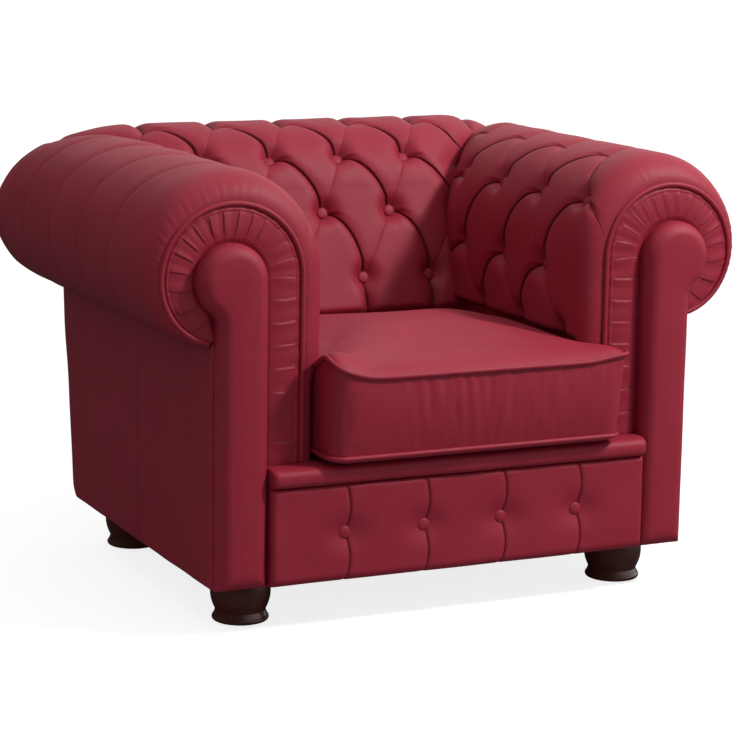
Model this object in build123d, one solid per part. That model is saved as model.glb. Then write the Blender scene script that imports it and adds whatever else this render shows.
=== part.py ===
"""Deep-buttoned leather club armchair with rolled arms, a loose seat cushion and turned feet."""
import math
import os

from build123d import *

# Overall sizes, in millimetres: +Z up, the front faces -Y, the floor is z = 0
overall_width = 1100.0
overall_depth = 910.0
overall_height = 756.0
skirt_clearance = 78.0

# Rolled arms and back: the crest of the leather pillows
roll_radius = 154.0
roll_tuck_out = 44.0
roll_tuck_drop = 132.0
back_rake = 18.0
tuft_bottom = 440.0
corner_radius = 70.0

# Scroll of the padded frame inside the roll, which the welt on the arm front follows
scroll_radius = 121.0
scroll_shift_out = 6.0
scroll_shift_down = 16.0
scroll_tuck_drop = 103.0
foam_thickness = 24.0
foam_shoulder = 20.0
welt_radius = 4.0

# Layers of the arm front, from the leather back to the board
front_overhang = 53.0
border_thickness = 18.0
board_thickness = 22.0
front_round = 63.0
front_round_shares = (0.0, 0.1, 0.3, 0.6)
front_round_least = 0.12
front_round_gap = 5.0

# Tufting: spacing of the buttons and depth of the folds
button_radius = 11.0
button_height = 8.0
button_depth = 26.0
fold_depth = 15.0
channel_depth = 11.0
button_gap = 26.0
button_well_height = 60.0
pillow_full_span = 70.0
pillow_power = 0.7
lowest_pillow_span = 60.0
lowest_pillow_share = 0.3
seam_drop = 2.0
arm_pitch = 150.0
arm_first_button = 97.0
back_pitch = 136.0
odd_row_past_corner = 15.0
even_row_before_corner = 40.0
back_row_before_corner = 20.0

# Rows of buttons: shares of the straight front, from the seat up, then degrees round the roll
arm_row_shares = (0.074, 0.691)
arm_row_angles = (148.5, 107.0)
back_row_shares = (0.25, 0.808)
back_row_angles = (136.0, 100.0)

# Seat space and the strips that close the cover below the tufting
arm_strip_recess = 28.0
back_strip_recess = 13.5
strip_thickness = 6.7
strip_bottom = 266.0

# Keyhole pad on the arm front
pad_inset = 48.5
pad_head_radius = 61.0
pad_head_drop = 18.0
pad_neck_radius = 26.0
pad_proud = 28.0
pad_round = 8.0
pleat_spacing = 38.0
pleat_groove = 5.0
first_pleat_rise = 18.0
last_pleat_angle = -40.0

# Front border with its edge roll
front_panel_top = 244.0
front_panel_lift = 2.0
front_panel_proud = 22.0
front_panel_pitch = 144.0
front_panel_pleats = (-1.5, -0.5, 0.5, 1.5)
front_button_depth = 13.0
front_rail_gap = 1.0
lip_top = 278.0
lip_proud = 38.0
lip_round = 20.0

# Fullness of the front border at shares of its height: height, fullness and depth of the pleats
front_panel_levels = ((0.0, 0.6, 3.0), (0.08, 0.92, 6.0), (0.5, 1.0, 11.0), (0.92, 0.92, 6.0),
                      (1.0, 0.6, 3.0))

# Outside panels
panel_thickness = 4.0
panel_corner_radius = 28.0
panel_seam_back = 335.0
panel_seam_width = 2.4
panel_seam_depth = 1.5
back_panel_slope = 0.1418
back_panel_lift = 6.0

# Frame and suspension
rail_thickness = 24.0
rail_bottom = 84.0
side_rail_top = 200.0
top_rail_size = 30.0
tack_rail_height = 40.0
back_frame_share = 0.86
back_rail_drop = 60.0
back_board_nose = 40.0
spring_wire_radius = 1.8
spring_height = 232.0
spring_pitch = 30.0
spring_half_width = 21.0
spring_spacing = 100.0
spring_count = 5
spring_tack_gap = 8.0
clip_size = 10.0
clip_width = 8.0
wire_play = 0.1
webbing_width = 55.0
webbing_thickness = 2.0
webbing_overlap = 20.0
arm_strap_start = 60.0
arm_strap_pitch = 130.0
back_strap_shares = ((0.12, 0.56), (0.1, 0.55))
deck_cloth_thickness = 1.3
deck_gap = 1.0
dust_cover_thickness = 1.0
dust_cover_gap = 2.0

# Feet and their fixings
foot_inset = 84.0
front_foot_setback = 77.0
rear_foot_setback = 149.0
foot_radius = 50.5
foot_girths = (0.84, 0.93, 0.90, 0.83, 0.87, 1.0, 0.90, 0.84)
foot_heights = (0.06, 0.14, 0.24, 0.30, 0.62, 0.93)
glide_radius = 30.0
glide_thickness = 2.5
bolt_radius = 4.0
bolt_in_foot = 38.0
bolt_hole_spare = 4.0
thread_play = 0.05
tee_nut_radius = 5.5
tee_nut_length = 18.0
tee_flange_radius = 11.0
tee_flange_thickness = 2.0
block_thickness = 30.0
block_reach = 55.0

# Loose seat cushion
cushion_bottom = 281.0
cushion_welt_bottom = 286.0
cushion_welt_top = 420.0
cushion_crown = 34.0
cushion_skin = 4.0
cushion_flare = 16.5
cushion_corner = 18.0
cushion_front_corner = 22.0
cushion_lobe_corner = 6.0
cushion_lobe_gap = 2.5
cushion_rear_gap = 2.0
cushion_welt_out = 1.0
cushion_boxing_bulge = 1.5
cushion_base_draw = 16.0
cushion_core_drop = 3.0

# Slight bows of the cushion's edges: how far a corner is set, and the radius there
cushion_front_bow = 3.0
cushion_front_bow_radius = 800.0
cushion_side_bow = 2.0
cushion_side_bow_radius = 1500.0

# Crown of the cushion: share of its rise, and how far it is drawn in there
cushion_crown_levels = ((0.0, 0.0), (0.26, 14.0), (0.62, 44.0), (0.86, 96.0), (1.0, 170.0))

# Gaps between neighbours
fit = 0.3
slide_gap = 0.5
edge_tolerance = 0.6
cutter_margin = 50.0

# Places that follow from the sizes above
arm_roll_x = overall_width / 2 - roll_radius
back_roll_y = overall_depth / 2 - roll_radius
roll_z = overall_height - roll_radius
panel_x = arm_roll_x + roll_tuck_out
panel_y = back_roll_y + roll_tuck_out
seat_half_width = arm_roll_x - roll_radius + arm_strip_recess
pad_inner_x = arm_roll_x - pad_inset
roll_tuck_z = roll_z - roll_tuck_drop
scroll_z = roll_z - scroll_shift_down
rake_sine, rake_cosine = math.sin(math.radians(back_rake)), math.cos(math.radians(back_rake))
back_straight = (roll_z + roll_radius * rake_sine - tuft_bottom) / rake_cosine
back_strip_y = back_roll_y - roll_radius * rake_cosine - back_straight * rake_sine + back_strip_recess
face_y = -overall_depth / 2 + front_overhang
board_front_y = face_y + border_thickness
board_back_y = board_front_y + board_thickness
rear_rail_back = panel_y - panel_thickness - back_panel_slope * (roll_tuck_z - rail_bottom) - fit
rear_rail_front = rear_rail_back - rail_thickness
side_rail_out = panel_x - panel_thickness - fit
side_rail_in = side_rail_out - rail_thickness
tack_in = arm_roll_x + scroll_shift_out - scroll_radius - welt_radius
tack_out = tack_in + foam_thickness
arm_rail_in = tack_out + webbing_thickness + 2 * fit
deck_top = cushion_bottom - fit
deck_half = seat_half_width - deck_gap
foot_x = panel_x - foot_inset
front_foot_y = face_y + front_foot_setback
rear_foot_y = panel_y - rear_foot_setback
foot_top = rail_bottom - dust_cover_thickness
front_panel_back = face_y - front_rail_gap
front_panel_half = pad_inner_x - slide_gap


def line(a, b):
    return Edge.make_line(a, b)


def arc(a, b, c):
    return Edge.make_three_point_arc(a, b, c)


def box(x0, x1, y0, y1, z0, z1):
    """A box given by its limits."""
    return Pos((x0 + x1) / 2, (y0 + y1) / 2, (z0 + z1) / 2) * Box(x1 - x0, y1 - y0, z1 - z0)


def prism(points, direction):
    """A flat outline of points pushed along a direction."""
    edges = [line(a, b) for a, b in zip(points, points[1:] + points[:1])]
    return Solid.extrude(Face(Wire(edges)), direction)


def group(shapes):
    """Separate solids kept in one node."""
    return Compound(children=[solid for shape in shapes for solid in shape.solids()])


class Scroll:
    """A rolled section in (d, z): a straight front, the roll over the top, and a tuck under it."""

    def __init__(self, d, z, radius, rake, tuck_d, tuck_z):
        self.d, self.z, self.radius, self.rake = d, z, radius, math.radians(rake)
        touch_z = z + radius * math.sin(self.rake)
        self.straight = (touch_z - tuft_bottom) / math.cos(self.rake)
        self.over = math.pi - self.rake
        reach = d + radius - tuck_d
        self.under_radius = (reach ** 2 + (z - tuck_z) ** 2) / (2 * reach)
        self.under_d = d + radius - self.under_radius
        self.under = math.atan2(z - tuck_z, tuck_d - self.under_d)
        self.turn = self.straight + radius * self.over
        self.length = self.turn + self.under_radius * self.under

    def zone(self, v):
        """Which of the three stretches a distance along the section lies on, and how far along it."""
        if v <= self.straight:
            return 0, v / self.straight
        if v <= self.turn:
            return 1, (v - self.straight) / (self.turn - self.straight)
        return 2, (v - self.turn) / (self.length - self.turn)

    def normal(self, zone, part):
        """The outward direction there."""
        angle = math.pi - self.rake
        if zone == 1:
            angle = self.over * (1 - part)
        elif zone == 2:
            angle = -self.under * part
        return math.cos(angle), math.sin(angle)

    def at(self, zone, part, depth=0.0):
        """A point on the section, set in by a depth."""
        n = self.normal(zone, part)
        if zone == 2:
            reach = self.under_radius - depth
            return self.under_d + reach * n[0], self.z + reach * n[1]
        back = self.straight * (1 - part) if zone == 0 else 0.0
        d = self.d + (self.radius - depth) * n[0] - back * math.sin(self.rake)
        return d, self.z + (self.radius - depth) * n[1] - back * math.cos(self.rake)

    def from_share(self, share):
        """Distance along the section at a share of its straight front."""
        return self.straight * share

    def from_angle(self, angle):
        """Distance along the section at an angle of the roll."""
        return self.straight + self.radius * (self.over - math.radians(angle))


def scroll_grown(roll_d, rake, tuck_d, grow):
    """The padded frame's section, grown by a distance."""
    d = roll_d + scroll_shift_out
    tuck_z = scroll_z - scroll_tuck_drop - grow
    return Scroll(d, scroll_z, scroll_radius + grow, rake, tuck_d, tuck_z)


def inner_edges(path, strip_d, place):
    """Edges of a padded section from its tuck, over the roll, down to the strip's bottom."""
    points = [path.at(2, 1), path.at(2, 0.5)] + [path.at(1, k / 4) for k in (4, 3, 2, 1, 0)]
    points += [path.at(0, 0), (strip_d, tuft_bottom - foam_shoulder), (strip_d, strip_bottom)]
    p = [place(q) for q in points]
    edges = [arc(p[0], p[1], p[2]), arc(p[2], p[3], p[4]), arc(p[4], p[5], p[6])]
    return edges + [line(p[6], p[7]), line(p[7], p[8]), line(p[8], p[9])], p[0], p[9]


class Tufting:
    """The diamond lattice of buttons on one rolled section."""

    def __init__(self, roll, strip_d, liner, shares, angles, first, pitch):
        self.roll, self.strip_d, self.liner = roll, strip_d, liner
        self.rows = [roll.from_share(h) for h in shares] + [roll.from_angle(a) for a in angles]
        self.first, self.half = first, pitch / 2

    def share(self, station):
        """How far a station lies from a column of the first row: 0 on it, 1 midway."""
        steps = abs(station - self.first) / self.half
        return abs((steps + 1) % 2 - 1)

    def wire(self, station, place, edge_path=None, ease=1.0):
        """The closed section at a station, eased towards an edge path at the front end."""
        roll, t, g = self.roll, self.share(station), button_gap / 2
        v3, v2, v1, v0 = self.rows
        crossings = [v3 + (v2 - g - v3) * t, v1 - g + (v2 + 2 * g - v1) * t, v1 + g + (v0 - v1 - g) * t]
        depth = fold_depth + (button_depth - fold_depth) * abs(2 * t - 1) ** 2
        depths = [depth, depth, depth if t < 0.5 else fold_depth]

        def spot(v, inset):
            where = roll.zone(v)
            p = roll.at(*where, inset)
            if edge_path is None:
                return place(p)
            q = edge_path.at(*where)
            return place((q[0] + (p[0] - q[0]) * ease, q[1] + (p[1] - q[1]) * ease))

        def pillow(a, b, inset_a, inset_b):
            fullness = min(1.0, max(0.0, (b - a - button_gap) / pillow_full_span)) ** pillow_power
            inset = (inset_a + inset_b) / 2 * (1 - fullness) - 0.5
            return arc(spot(a, inset_a), spot((a + b) / 2, max(inset, 0.0)), spot(b, inset_b))

        bottom, seam = place((self.strip_d, strip_bottom)), place((self.strip_d, tuft_bottom - seam_drop))
        full = crossings[0] > lowest_pillow_span
        lower = spot(crossings[0] / 2, fold_depth * lowest_pillow_share if full else fold_depth)
        channel = channel_depth * max(0.0, 2 * t - 1)
        edges = [line(bottom, seam), arc(seam, lower, spot(crossings[0], depths[0]))]
        edges.append(pillow(crossings[0], crossings[1], depths[0], depths[1]))
        edges.append(pillow(crossings[1], crossings[2], depths[1], depths[2]))
        middle = spot((crossings[2] + roll.turn) / 2, channel)
        edges.append(arc(spot(crossings[2], depths[2]), middle, spot(roll.turn, channel)))
        end = spot(roll.length, 0)
        edges.append(arc(spot(roll.turn, channel), spot((roll.turn + roll.length) / 2, channel / 2), end))
        inner, top, foot = inner_edges(self.liner, self.strip_d + strip_thickness, place)
        return Wire(edges + [line(end, top)] + inner + [line(foot, bottom)])

    def nodes(self, stations, row):
        """Spots and outward directions of the buttons of a row."""
        zone = self.roll.zone(self.rows[row])
        return [(s, self.roll.at(*zone, button_depth + 1), self.roll.normal(*zone)) for s in stations]


arm_roll = Scroll(arm_roll_x, roll_z, roll_radius, 0, panel_x, roll_tuck_z)
back_roll = Scroll(back_roll_y, roll_z, roll_radius, back_rake, panel_y, roll_tuck_z)
arm_liner = scroll_grown(arm_roll_x, 0, panel_x, welt_radius + fit)
back_liner = scroll_grown(back_roll_y, back_rake, panel_y, welt_radius + fit)
arm_first = face_y + arm_first_button
arm_tufts = Tufting(arm_roll, seat_half_width, arm_liner, arm_row_shares, arm_row_angles,
                    arm_first, arm_pitch)
back_tufts = Tufting(back_roll, back_strip_y, back_liner, back_row_shares, back_row_angles,
                     back_pitch / 2, back_pitch)


def arm_place(station):
    return lambda p: (p[0], station, p[1])


def back_place(station):
    return lambda p: (station, p[0], p[1])


# Where arm and back meet: a mitre through the roll centres, with a rounded outer corner
mitre_offset = arm_roll_x - back_roll_y
inner_corner_x = arm_roll_x - roll_radius
corner_y = inner_corner_x - mitre_offset
far = overall_width + overall_depth


def rounded_plan():
    """The chair's outline from above, with rounded rear corners."""
    plan = RectangleRounded(overall_width, 2 * far, corner_radius)
    return extrude(Pos(0, overall_depth / 2 - far, 0) * plan, overall_height + cutter_margin)


def arm_side(shape):
    """The part of a right arm in front of the mitre."""
    x0, x1 = -far, far
    keep = prism([(x0, x0 - mitre_offset - fit, 0), (x1, x1 - mitre_offset - fit, 0), (x1, -far, 0),
                  (x0, -far - 2 * far, 0)], (0, 0, overall_height + cutter_margin))
    return (shape & keep) & rounded_plan()


def back_side(shape):
    """The part of the back behind the mitres and between the arms."""
    half = inner_corner_x - 2 * slide_gap
    right = [(half, -far, 0), (half, corner_y, 0), (far, far - mitre_offset, 0), (far, 2 * far, 0)]
    left = [(-x, y, z) for x, y, z in reversed(right)]
    keep = prism(right + left, (0, 0, overall_height + cutter_margin))
    return (shape & keep) & rounded_plan()


def loft_solid(wires):
    """A ruled skin through closed sections, turned the right way out."""
    solid = Solid.make_loft(wires, ruled=True)
    return solid if solid.volume > 0 else Solid(solid.wrapped.Reversed())


def button_at(place, node, growth=0.0, height=None):
    """A covered button, or the well cut for it."""
    station, spot, normal = node
    axis = Vector(place(station)(normal)) - Vector(place(station)((0, 0)))
    plane = Plane(origin=place(station)(spot), z_dir=axis)
    if height:
        return plane.location * Pos(0, 0, height / 2) * Cylinder(button_radius + growth, height)
    r, low, rise = button_radius, button_height * 0.35, button_height * 0.65
    ball = (r * r + rise * rise) / (2 * rise)
    middle = math.asin(r / ball) / 2
    shoulder = (ball * math.sin(middle), 0, low + rise - ball + ball * math.cos(middle))
    edges = [line((0, 0, 0), (r, 0, 0)), line((r, 0, 0), (r, 0, low)),
             arc((r, 0, low), shoulder, (0, 0, low + rise)), line((0, 0, low + rise), (0, 0, 0))]
    return plane.location * Solid.revolve(Face(Wire(edges)), 360, Axis.Z)


arm_count = int(overall_depth / arm_pitch) + 1
arm_odd = [arm_first + arm_pitch * k for k in range(arm_count)]
arm_even = [y + arm_pitch / 2 for y in arm_odd if y + arm_pitch / 2 < corner_y - even_row_before_corner]
arm_odd = [y for y in arm_odd if y < corner_y + odd_row_past_corner]
arm_nodes = arm_tufts.nodes(arm_odd, 2) + arm_tufts.nodes(arm_even, 1)
back_count = int((inner_corner_x - back_row_before_corner - back_pitch / 2) / back_pitch) + 1
back_odd = [s * (back_pitch / 2 + back_pitch * k) for k in range(back_count) for s in (-1, 1)]
back_even = [s * back_pitch * k for k in range(1, back_count) for s in (-1, 1)] + [0.0]
back_nodes = back_tufts.nodes(back_odd, 2) + back_tufts.nodes(back_even, 1) + back_tufts.nodes(back_odd, 0)


def arm_cover():
    """Tufted leather with its fibre filling, over the inside, the roll and under it."""
    start = face_y + welt_radius
    lip = scroll_grown(arm_roll_x, 0, panel_x, welt_radius + front_round_gap)
    wires = []
    for share in front_round_shares:
        ease = max(front_round_least, math.sqrt(1 - (1 - share) ** 2))
        station = start + front_round * share
        wires.append(arm_tufts.wire(station, arm_place(station), lip, ease))
    step = arm_pitch / 4
    first = round((start + front_round - arm_first) / step) + 1
    last = math.ceil((overall_depth / 2 - arm_first) / step) + 1
    stations = [start + front_round] + [arm_first + k * step for k in range(first, last + 1)]
    wires += [arm_tufts.wire(station, arm_place(station)) for station in stations]
    wells = [button_at(arm_place, n, slide_gap, button_well_height) for n in arm_nodes]
    return arm_side(loft_solid(wires) - wells)


def back_cover():
    """Tufted leather with its fibre filling, over the inside back and its roll."""
    step = back_pitch / 4
    count = int(overall_width / 2 / step) + 2
    wires = [back_tufts.wire(k * step, back_place(k * step)) for k in range(-count, count + 1)]
    wells = [button_at(back_place, n, slide_gap, button_well_height) for n in back_nodes]
    return back_side(loft_solid(wires) - wells)


def pad_wire(roll_d, rake, tuck_d, strip_d, place):
    """The closed section of a foam pad."""
    outer = scroll_grown(roll_d, rake, tuck_d - panel_thickness, welt_radius)
    inner = scroll_grown(roll_d, rake, tuck_d - panel_thickness, welt_radius - foam_thickness)
    out_edges, out_top, out_foot = inner_edges(outer, strip_d, place)
    in_edges, in_top, in_foot = inner_edges(inner, strip_d + foam_thickness, place)
    return Wire(out_edges + in_edges + [line(out_top, in_top), line(out_foot, in_foot)])


def arm_foam():
    """The foam over the arm's frame."""
    wire = pad_wire(arm_roll_x, 0, panel_x, tack_in, arm_place(board_back_y))
    return arm_side(Solid.extrude(Face(wire), (0, overall_depth / 2 - board_back_y, 0)))


def back_foam():
    """The foam over the back's frame."""
    strip_d = back_strip_y + strip_thickness + fit
    wire = pad_wire(back_roll_y, back_rake, panel_y, strip_d, back_place(-overall_width / 2))
    return back_side(Solid.extrude(Face(wire), (overall_width, 0, 0)))


def scroll_face(grow, inner_bottom, out_x, y):
    """The arm front's scroll outline, closed down to a height."""
    path = scroll_grown(arm_roll_x, 0, out_x, grow)
    place = arm_place(y)
    p = [place(path.at(2, 1)), place(path.at(2, 0.5))] + [place(path.at(1, k / 4)) for k in (4, 3, 2, 1, 0)]
    left = (p[6][0], y, inner_bottom)
    right = (out_x, y, inner_bottom)
    return Face(Wire([line(right, p[0]), arc(p[0], p[1], p[2]), arc(p[2], p[3], p[4]), arc(p[4], p[5], p[6]),
                      line(p[6], left), line(left, right)]))


def arm_front_board():
    """The plywood scroll that shapes the front of the arm."""
    face = scroll_face(welt_radius, rail_bottom, panel_x - panel_thickness, board_front_y)
    return Solid.extrude(face, (0, board_thickness, 0))


def pad_solid(grow, front, back):
    """The keyhole outline of the centre facing, as a solid."""
    out_x = panel_x - panel_thickness - slide_gap
    head_x, head_z = pad_inner_x + pad_head_radius, roll_z - pad_head_drop
    depth = back - front
    head = Pos(head_x, (front + back) / 2, head_z) * Rot(90, 0, 0) * Cylinder(pad_head_radius + grow, depth)
    post = box(pad_inner_x - grow, out_x + grow, front, back, skirt_clearance - grow, head_z)
    joined = head + post
    low, high = head_z - 2 * pad_head_radius, head_z - edge_tolerance
    necks = [e for e in joined.edges().filter_by(Axis.Y)
             if abs(e.center().X - out_x - grow) < edge_tolerance and low < e.center().Z < high]
    return fillet(necks, pad_neck_radius - grow)


def facing_pad():
    """The padded keyhole facing on the arm front."""
    pad = pad_solid(0.0, face_y - pad_proud, board_front_y - fit)
    front = pad.faces().sort_by(Axis.Y)[0]
    return fillet(front.edges(), pad_round)


def border_line():
    """Spots and directions across the pleated border, from the lip up and around the head."""
    spots = []
    height = lip_top + first_pleat_rise
    inner_x = arm_roll_x + scroll_shift_out - scroll_radius
    while height < scroll_z:
        spots.append(((inner_x + pad_inner_x) / 2, height, 0.0))
        height += pleat_spacing
    ring = (scroll_radius + pad_head_radius) / 2
    ring_x = (arm_roll_x + scroll_shift_out + pad_inner_x + pad_head_radius) / 2
    turn = math.pi - (height - scroll_z) / ring
    while turn > math.radians(last_pleat_angle):
        spots.append((ring_x + ring * math.cos(turn), scroll_z + ring * math.sin(turn), turn))
        turn -= pleat_spacing / ring
    return spots


def pleated_border():
    """The gathered leather between the keyhole pad and the welt."""
    edge_x = panel_x - panel_thickness
    raised = scroll_face(-welt_radius - fit, lip_top + fit, edge_x, face_y)
    backing = scroll_face(welt_radius, lip_top + fit, edge_x, face_y + 2 * welt_radius + fit)
    depth = border_thickness - 2 * welt_radius - fit
    band = Solid.extrude(raised, (0, 2 * welt_radius + fit, 0)) + Solid.extrude(backing, (0, depth, 0))
    band = band - pad_solid(slide_gap, face_y - cutter_margin, board_front_y + cutter_margin)
    ridge = Rot(45, 0, 0) * Box(scroll_radius, pleat_groove, pleat_groove)
    return band - [Pos(x, face_y, z) * Rot(0, -math.degrees(turn), 0) * ridge for x, z, turn in border_line()]


def facing_welt():
    """The piped welt around the scroll of the arm front."""
    path = scroll_grown(arm_roll_x, 0, panel_x, 0)
    place = arm_place(face_y + welt_radius)
    start = place((path.at(1, 0)[0], lip_top + welt_radius + fit))
    p = [place(path.at(1, k / 4)) for k in range(5)]
    edges = [line(start, p[0]), arc(p[0], p[1], p[2]), arc(p[2], p[3], p[4])]
    edges.append(arc(p[4], place(path.at(2, 0.5)), place(path.at(2, 1))))
    circle = Plane(origin=start, z_dir=(0, 0, 1)) * Circle(welt_radius)
    return sweep(circle, Wire(edges))


def panel_back_y(z):
    """The outer face of the outside back at a height."""
    return panel_y + back_panel_slope * (z - roll_tuck_z)


def outside_arm_panel():
    """The leather-covered outside of the arm, with its upright seam."""
    z0, z1 = skirt_clearance, roll_tuck_z - fit
    x = panel_x - panel_thickness
    points = [(x, face_y, z0), (x, face_y, z1), (x, panel_back_y(z1), z1), (x, panel_back_y(z0), z0)]
    panel = prism(points, (panel_thickness, 0, 0))
    corner = panel.edges().filter_by(Axis.X).sort_by(Axis.Z)[:2].sort_by(Axis.Y)[-1]
    seam_y, reach = face_y + panel_seam_back, panel_seam_width / 2
    seam = box(panel_x - panel_seam_depth, panel_x + reach, seam_y - reach, seam_y + reach, z0, z1)
    return fillet(corner, panel_corner_radius) - seam


def outside_back_panel():
    """The leather-covered outside of the back."""
    z0, z1 = skirt_clearance + back_panel_lift, roll_tuck_z - fit
    x = panel_x - panel_thickness - fit
    points = [(-x, panel_back_y(z0) - panel_thickness, z0), (-x, panel_back_y(z1) - panel_thickness, z1),
              (-x, panel_back_y(z1), z1), (-x, panel_back_y(z0), z0)]
    return prism(points, (2 * x, 0, 0))


def front_panel():
    """The padded front border with its sewn pleats."""
    back, half = front_panel_back, front_panel_half
    low, high = skirt_clearance + front_panel_lift, front_panel_top - fit
    xs = [-half] + [front_panel_pitch * k for k in front_panel_pleats] + [half]
    wires = []
    for share, fullness, depth in front_panel_levels:
        z = low + (high - low) * share
        front = back - front_panel_proud * fullness
        p = [(x, front + (depth / 2 if abs(x) == half else depth), z) for x in xs]
        edges = [arc(a, ((a[0] + b[0]) / 2, front, z), b) for a, b in zip(p, p[1:])]
        right, left = (half, back, z), (-half, back, z)
        wires.append(Wire(edges + [line(p[-1], right), line(right, left), line(left, p[0])]))
    wells = [button_at(back_place, n, slide_gap, button_well_height) for n in front_nodes()]
    return loft_solid(wires) - wells


def front_nodes():
    """Spots and directions of the buttons of the front border."""
    z = (skirt_clearance + front_panel_lift + front_panel_top - fit) / 2
    y = front_panel_back - front_panel_proud + front_button_depth
    return [(front_panel_pitch * k, (y, z), (-1.0, 0.0)) for k in front_panel_pleats]


def front_lip():
    """The rounded edge roll along the front of the seat, with the board behind it."""
    front, back = face_y - lip_proud, face_y + welt_radius - fit
    z0, z1 = front_panel_top, lip_top
    rise, give = (z1 - z0) / 2, 1 - math.sqrt(0.5)
    x, straight, bulge = -front_panel_half, front + lip_round, front + lip_round * give
    p = [(x, back, z0), (x, back, z1), (x, straight, z1), (x, front, z0 + rise), (x, straight, z0)]
    edges = [line(p[0], p[1]), line(p[1], p[2]), line(p[4], p[0])]
    edges.append(arc(p[2], (x, bulge, z1 - rise * give), p[3]))
    edges.append(arc(p[3], (x, bulge, z0 + rise * give), p[4]))
    roll = Solid.extrude(Face(Wire(edges)), (-2 * x, 0, 0))
    return roll + box(-deck_half, deck_half, back, board_front_y - fit, z0, z1)


# Frame, suspension and seat deck
def front_rail():
    half = pad_inner_x - 2 * slide_gap
    return box(-half, half, front_panel_back + fit, board_front_y, rail_bottom, front_panel_top)


def rear_rail():
    return box(-side_rail_in, side_rail_in, rear_rail_front, rear_rail_back, rail_bottom, front_panel_top)


def side_rail():
    return box(side_rail_in, side_rail_out, board_back_y, rear_rail_back, rail_bottom, side_rail_top)


def arm_tack_rail():
    top = strip_bottom - fit
    return box(tack_in, tack_out, board_back_y, rear_rail_front, top - tack_rail_height, top)


def back_tack_rail():
    y = back_strip_y + strip_thickness + fit
    z0, z1 = spring_height + spring_tack_gap, strip_bottom - fit
    return box(-tack_in, tack_in, y, y + foam_thickness, z0, z1)


def leaning_post(x0, z1):
    """An upright on the rear rail that leans with the outside back."""
    z0 = front_panel_top
    lean = back_panel_slope * (z1 - z0)
    points = [(x0, rear_rail_front, z0), (x0, rear_rail_back, z0), (x0, rear_rail_back + lean, z1),
              (x0, rear_rail_front + lean, z1)]
    return prism(points, (top_rail_size, 0, 0))


def arm_rear_post():
    return leaning_post(arm_rail_in, scroll_z - top_rail_size)


def arm_top_rail():
    back = rear_rail_back + back_panel_slope * (scroll_z - top_rail_size - front_panel_top)
    x0, z1 = arm_rail_in, scroll_z
    return box(x0, x0 + top_rail_size, board_back_y, back, z1 - top_rail_size, z1)


def behind_foam(gap):
    """The line of the back foam's rear face, from the tack rail up, set back by a gap."""
    d = back_strip_y + strip_thickness + fit + foam_thickness + gap
    pad = scroll_grown(back_roll_y, back_rake, panel_y - panel_thickness, welt_radius - foam_thickness - gap)
    bend, top = pad.at(0, 0), pad.at(0, back_frame_share)
    return [(d, strip_bottom + fit), (d, tuft_bottom - foam_shoulder), bend, top]


def back_side_board():
    """The plywood side of the back frame, cut to the line of the padding."""
    x0 = inner_corner_x - fit - rail_thickness
    z0, inner = front_panel_top, behind_foam(webbing_thickness + 2 * fit)
    z2 = inner[-1][1]
    z1 = z2 - back_rail_drop
    y1 = rear_rail_back + back_panel_slope * (z1 - z0)
    outer = [(rear_rail_front, z0), (rear_rail_back, z0), (y1, z1), (y1 - back_board_nose, z2)]
    return prism([(x0, y, z) for y, z in outer + inner[::-1]], (rail_thickness, 0, 0))


def back_top_rail():
    """The stretcher between the sides of the back frame."""
    half = inner_corner_x - 2 * fit - rail_thickness
    z1 = behind_foam(0)[-1][1] - back_rail_drop
    y = rear_rail_back + back_panel_slope * (z1 - top_rail_size - front_panel_top)
    return box(-half, half, y - top_rail_size, y, z1 - top_rail_size, z1)


def arm_webbing():
    """Upright straps behind the arm's foam, from the tack rail to the top rail."""
    x0, z0, straps = tack_out + fit, strip_bottom - webbing_overlap, []
    y = board_back_y + arm_strap_start
    while y + webbing_width < rear_rail_front:
        straps.append(box(x0, x0 + webbing_thickness, y, y + webbing_width, z0, scroll_z))
        y += arm_strap_pitch
    return group(straps)


def back_webbing():
    """Straps across the back frame, behind the foam."""
    half = inner_corner_x - fit
    foot, shoulder, bend, top = behind_foam(fit)
    straps = []
    for (a, b), shares in zip(((foot, shoulder), (bend, top)), back_strap_shares):
        length = math.dist(a, b)
        along = ((b[0] - a[0]) / length, (b[1] - a[1]) / length)
        for share in shares:
            low = (a[0] + along[0] * length * share, a[1] + along[1] * length * share)
            high = (low[0] + along[0] * webbing_width, low[1] + along[1] * webbing_width)
            back = (along[1] * webbing_thickness, -along[0] * webbing_thickness)
            outline = [low, high] + [(p[0] + back[0], p[1] + back[1]) for p in (high, low)]
            straps.append(prism([(-half, y, z) for y, z in outline], (2 * half, 0, 0)))
    return group(straps)


def spring_ends():
    return board_front_y + clip_size / 2, rear_rail_front - clip_size / 2


def spring_columns():
    return [spring_spacing * (k - (spring_count - 1) / 2) for k in range(spring_count)]


def seat_springs():
    """Zigzag wire springs from the front rail to the rear rail."""
    y0, y1 = spring_ends()
    bars = 2 * int((y1 - y0) / spring_pitch / 2) + 1
    pitch = (y1 - y0) / (bars - 1)
    half, z, turn = spring_half_width - pitch / 2, spring_height, pitch / 2
    edges, side = [], 1
    for k in range(bars):
        y = y0 + pitch * k
        edges.append(line((-side * half, y, z), (side * half, y, z)))
        if k < bars - 1:
            out = side * (half + turn)
            edges.append(arc((side * half, y, z), (out, y + turn, z), (side * half, y + pitch, z)))
        side = -side
    start = Plane(origin=(-half, y0, z), z_dir=(1, 0, 0))
    spring = sweep(start * Circle(spring_wire_radius), Wire(edges))
    return group([Pos(x, 0, 0) * spring for x in spring_columns()])


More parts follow.
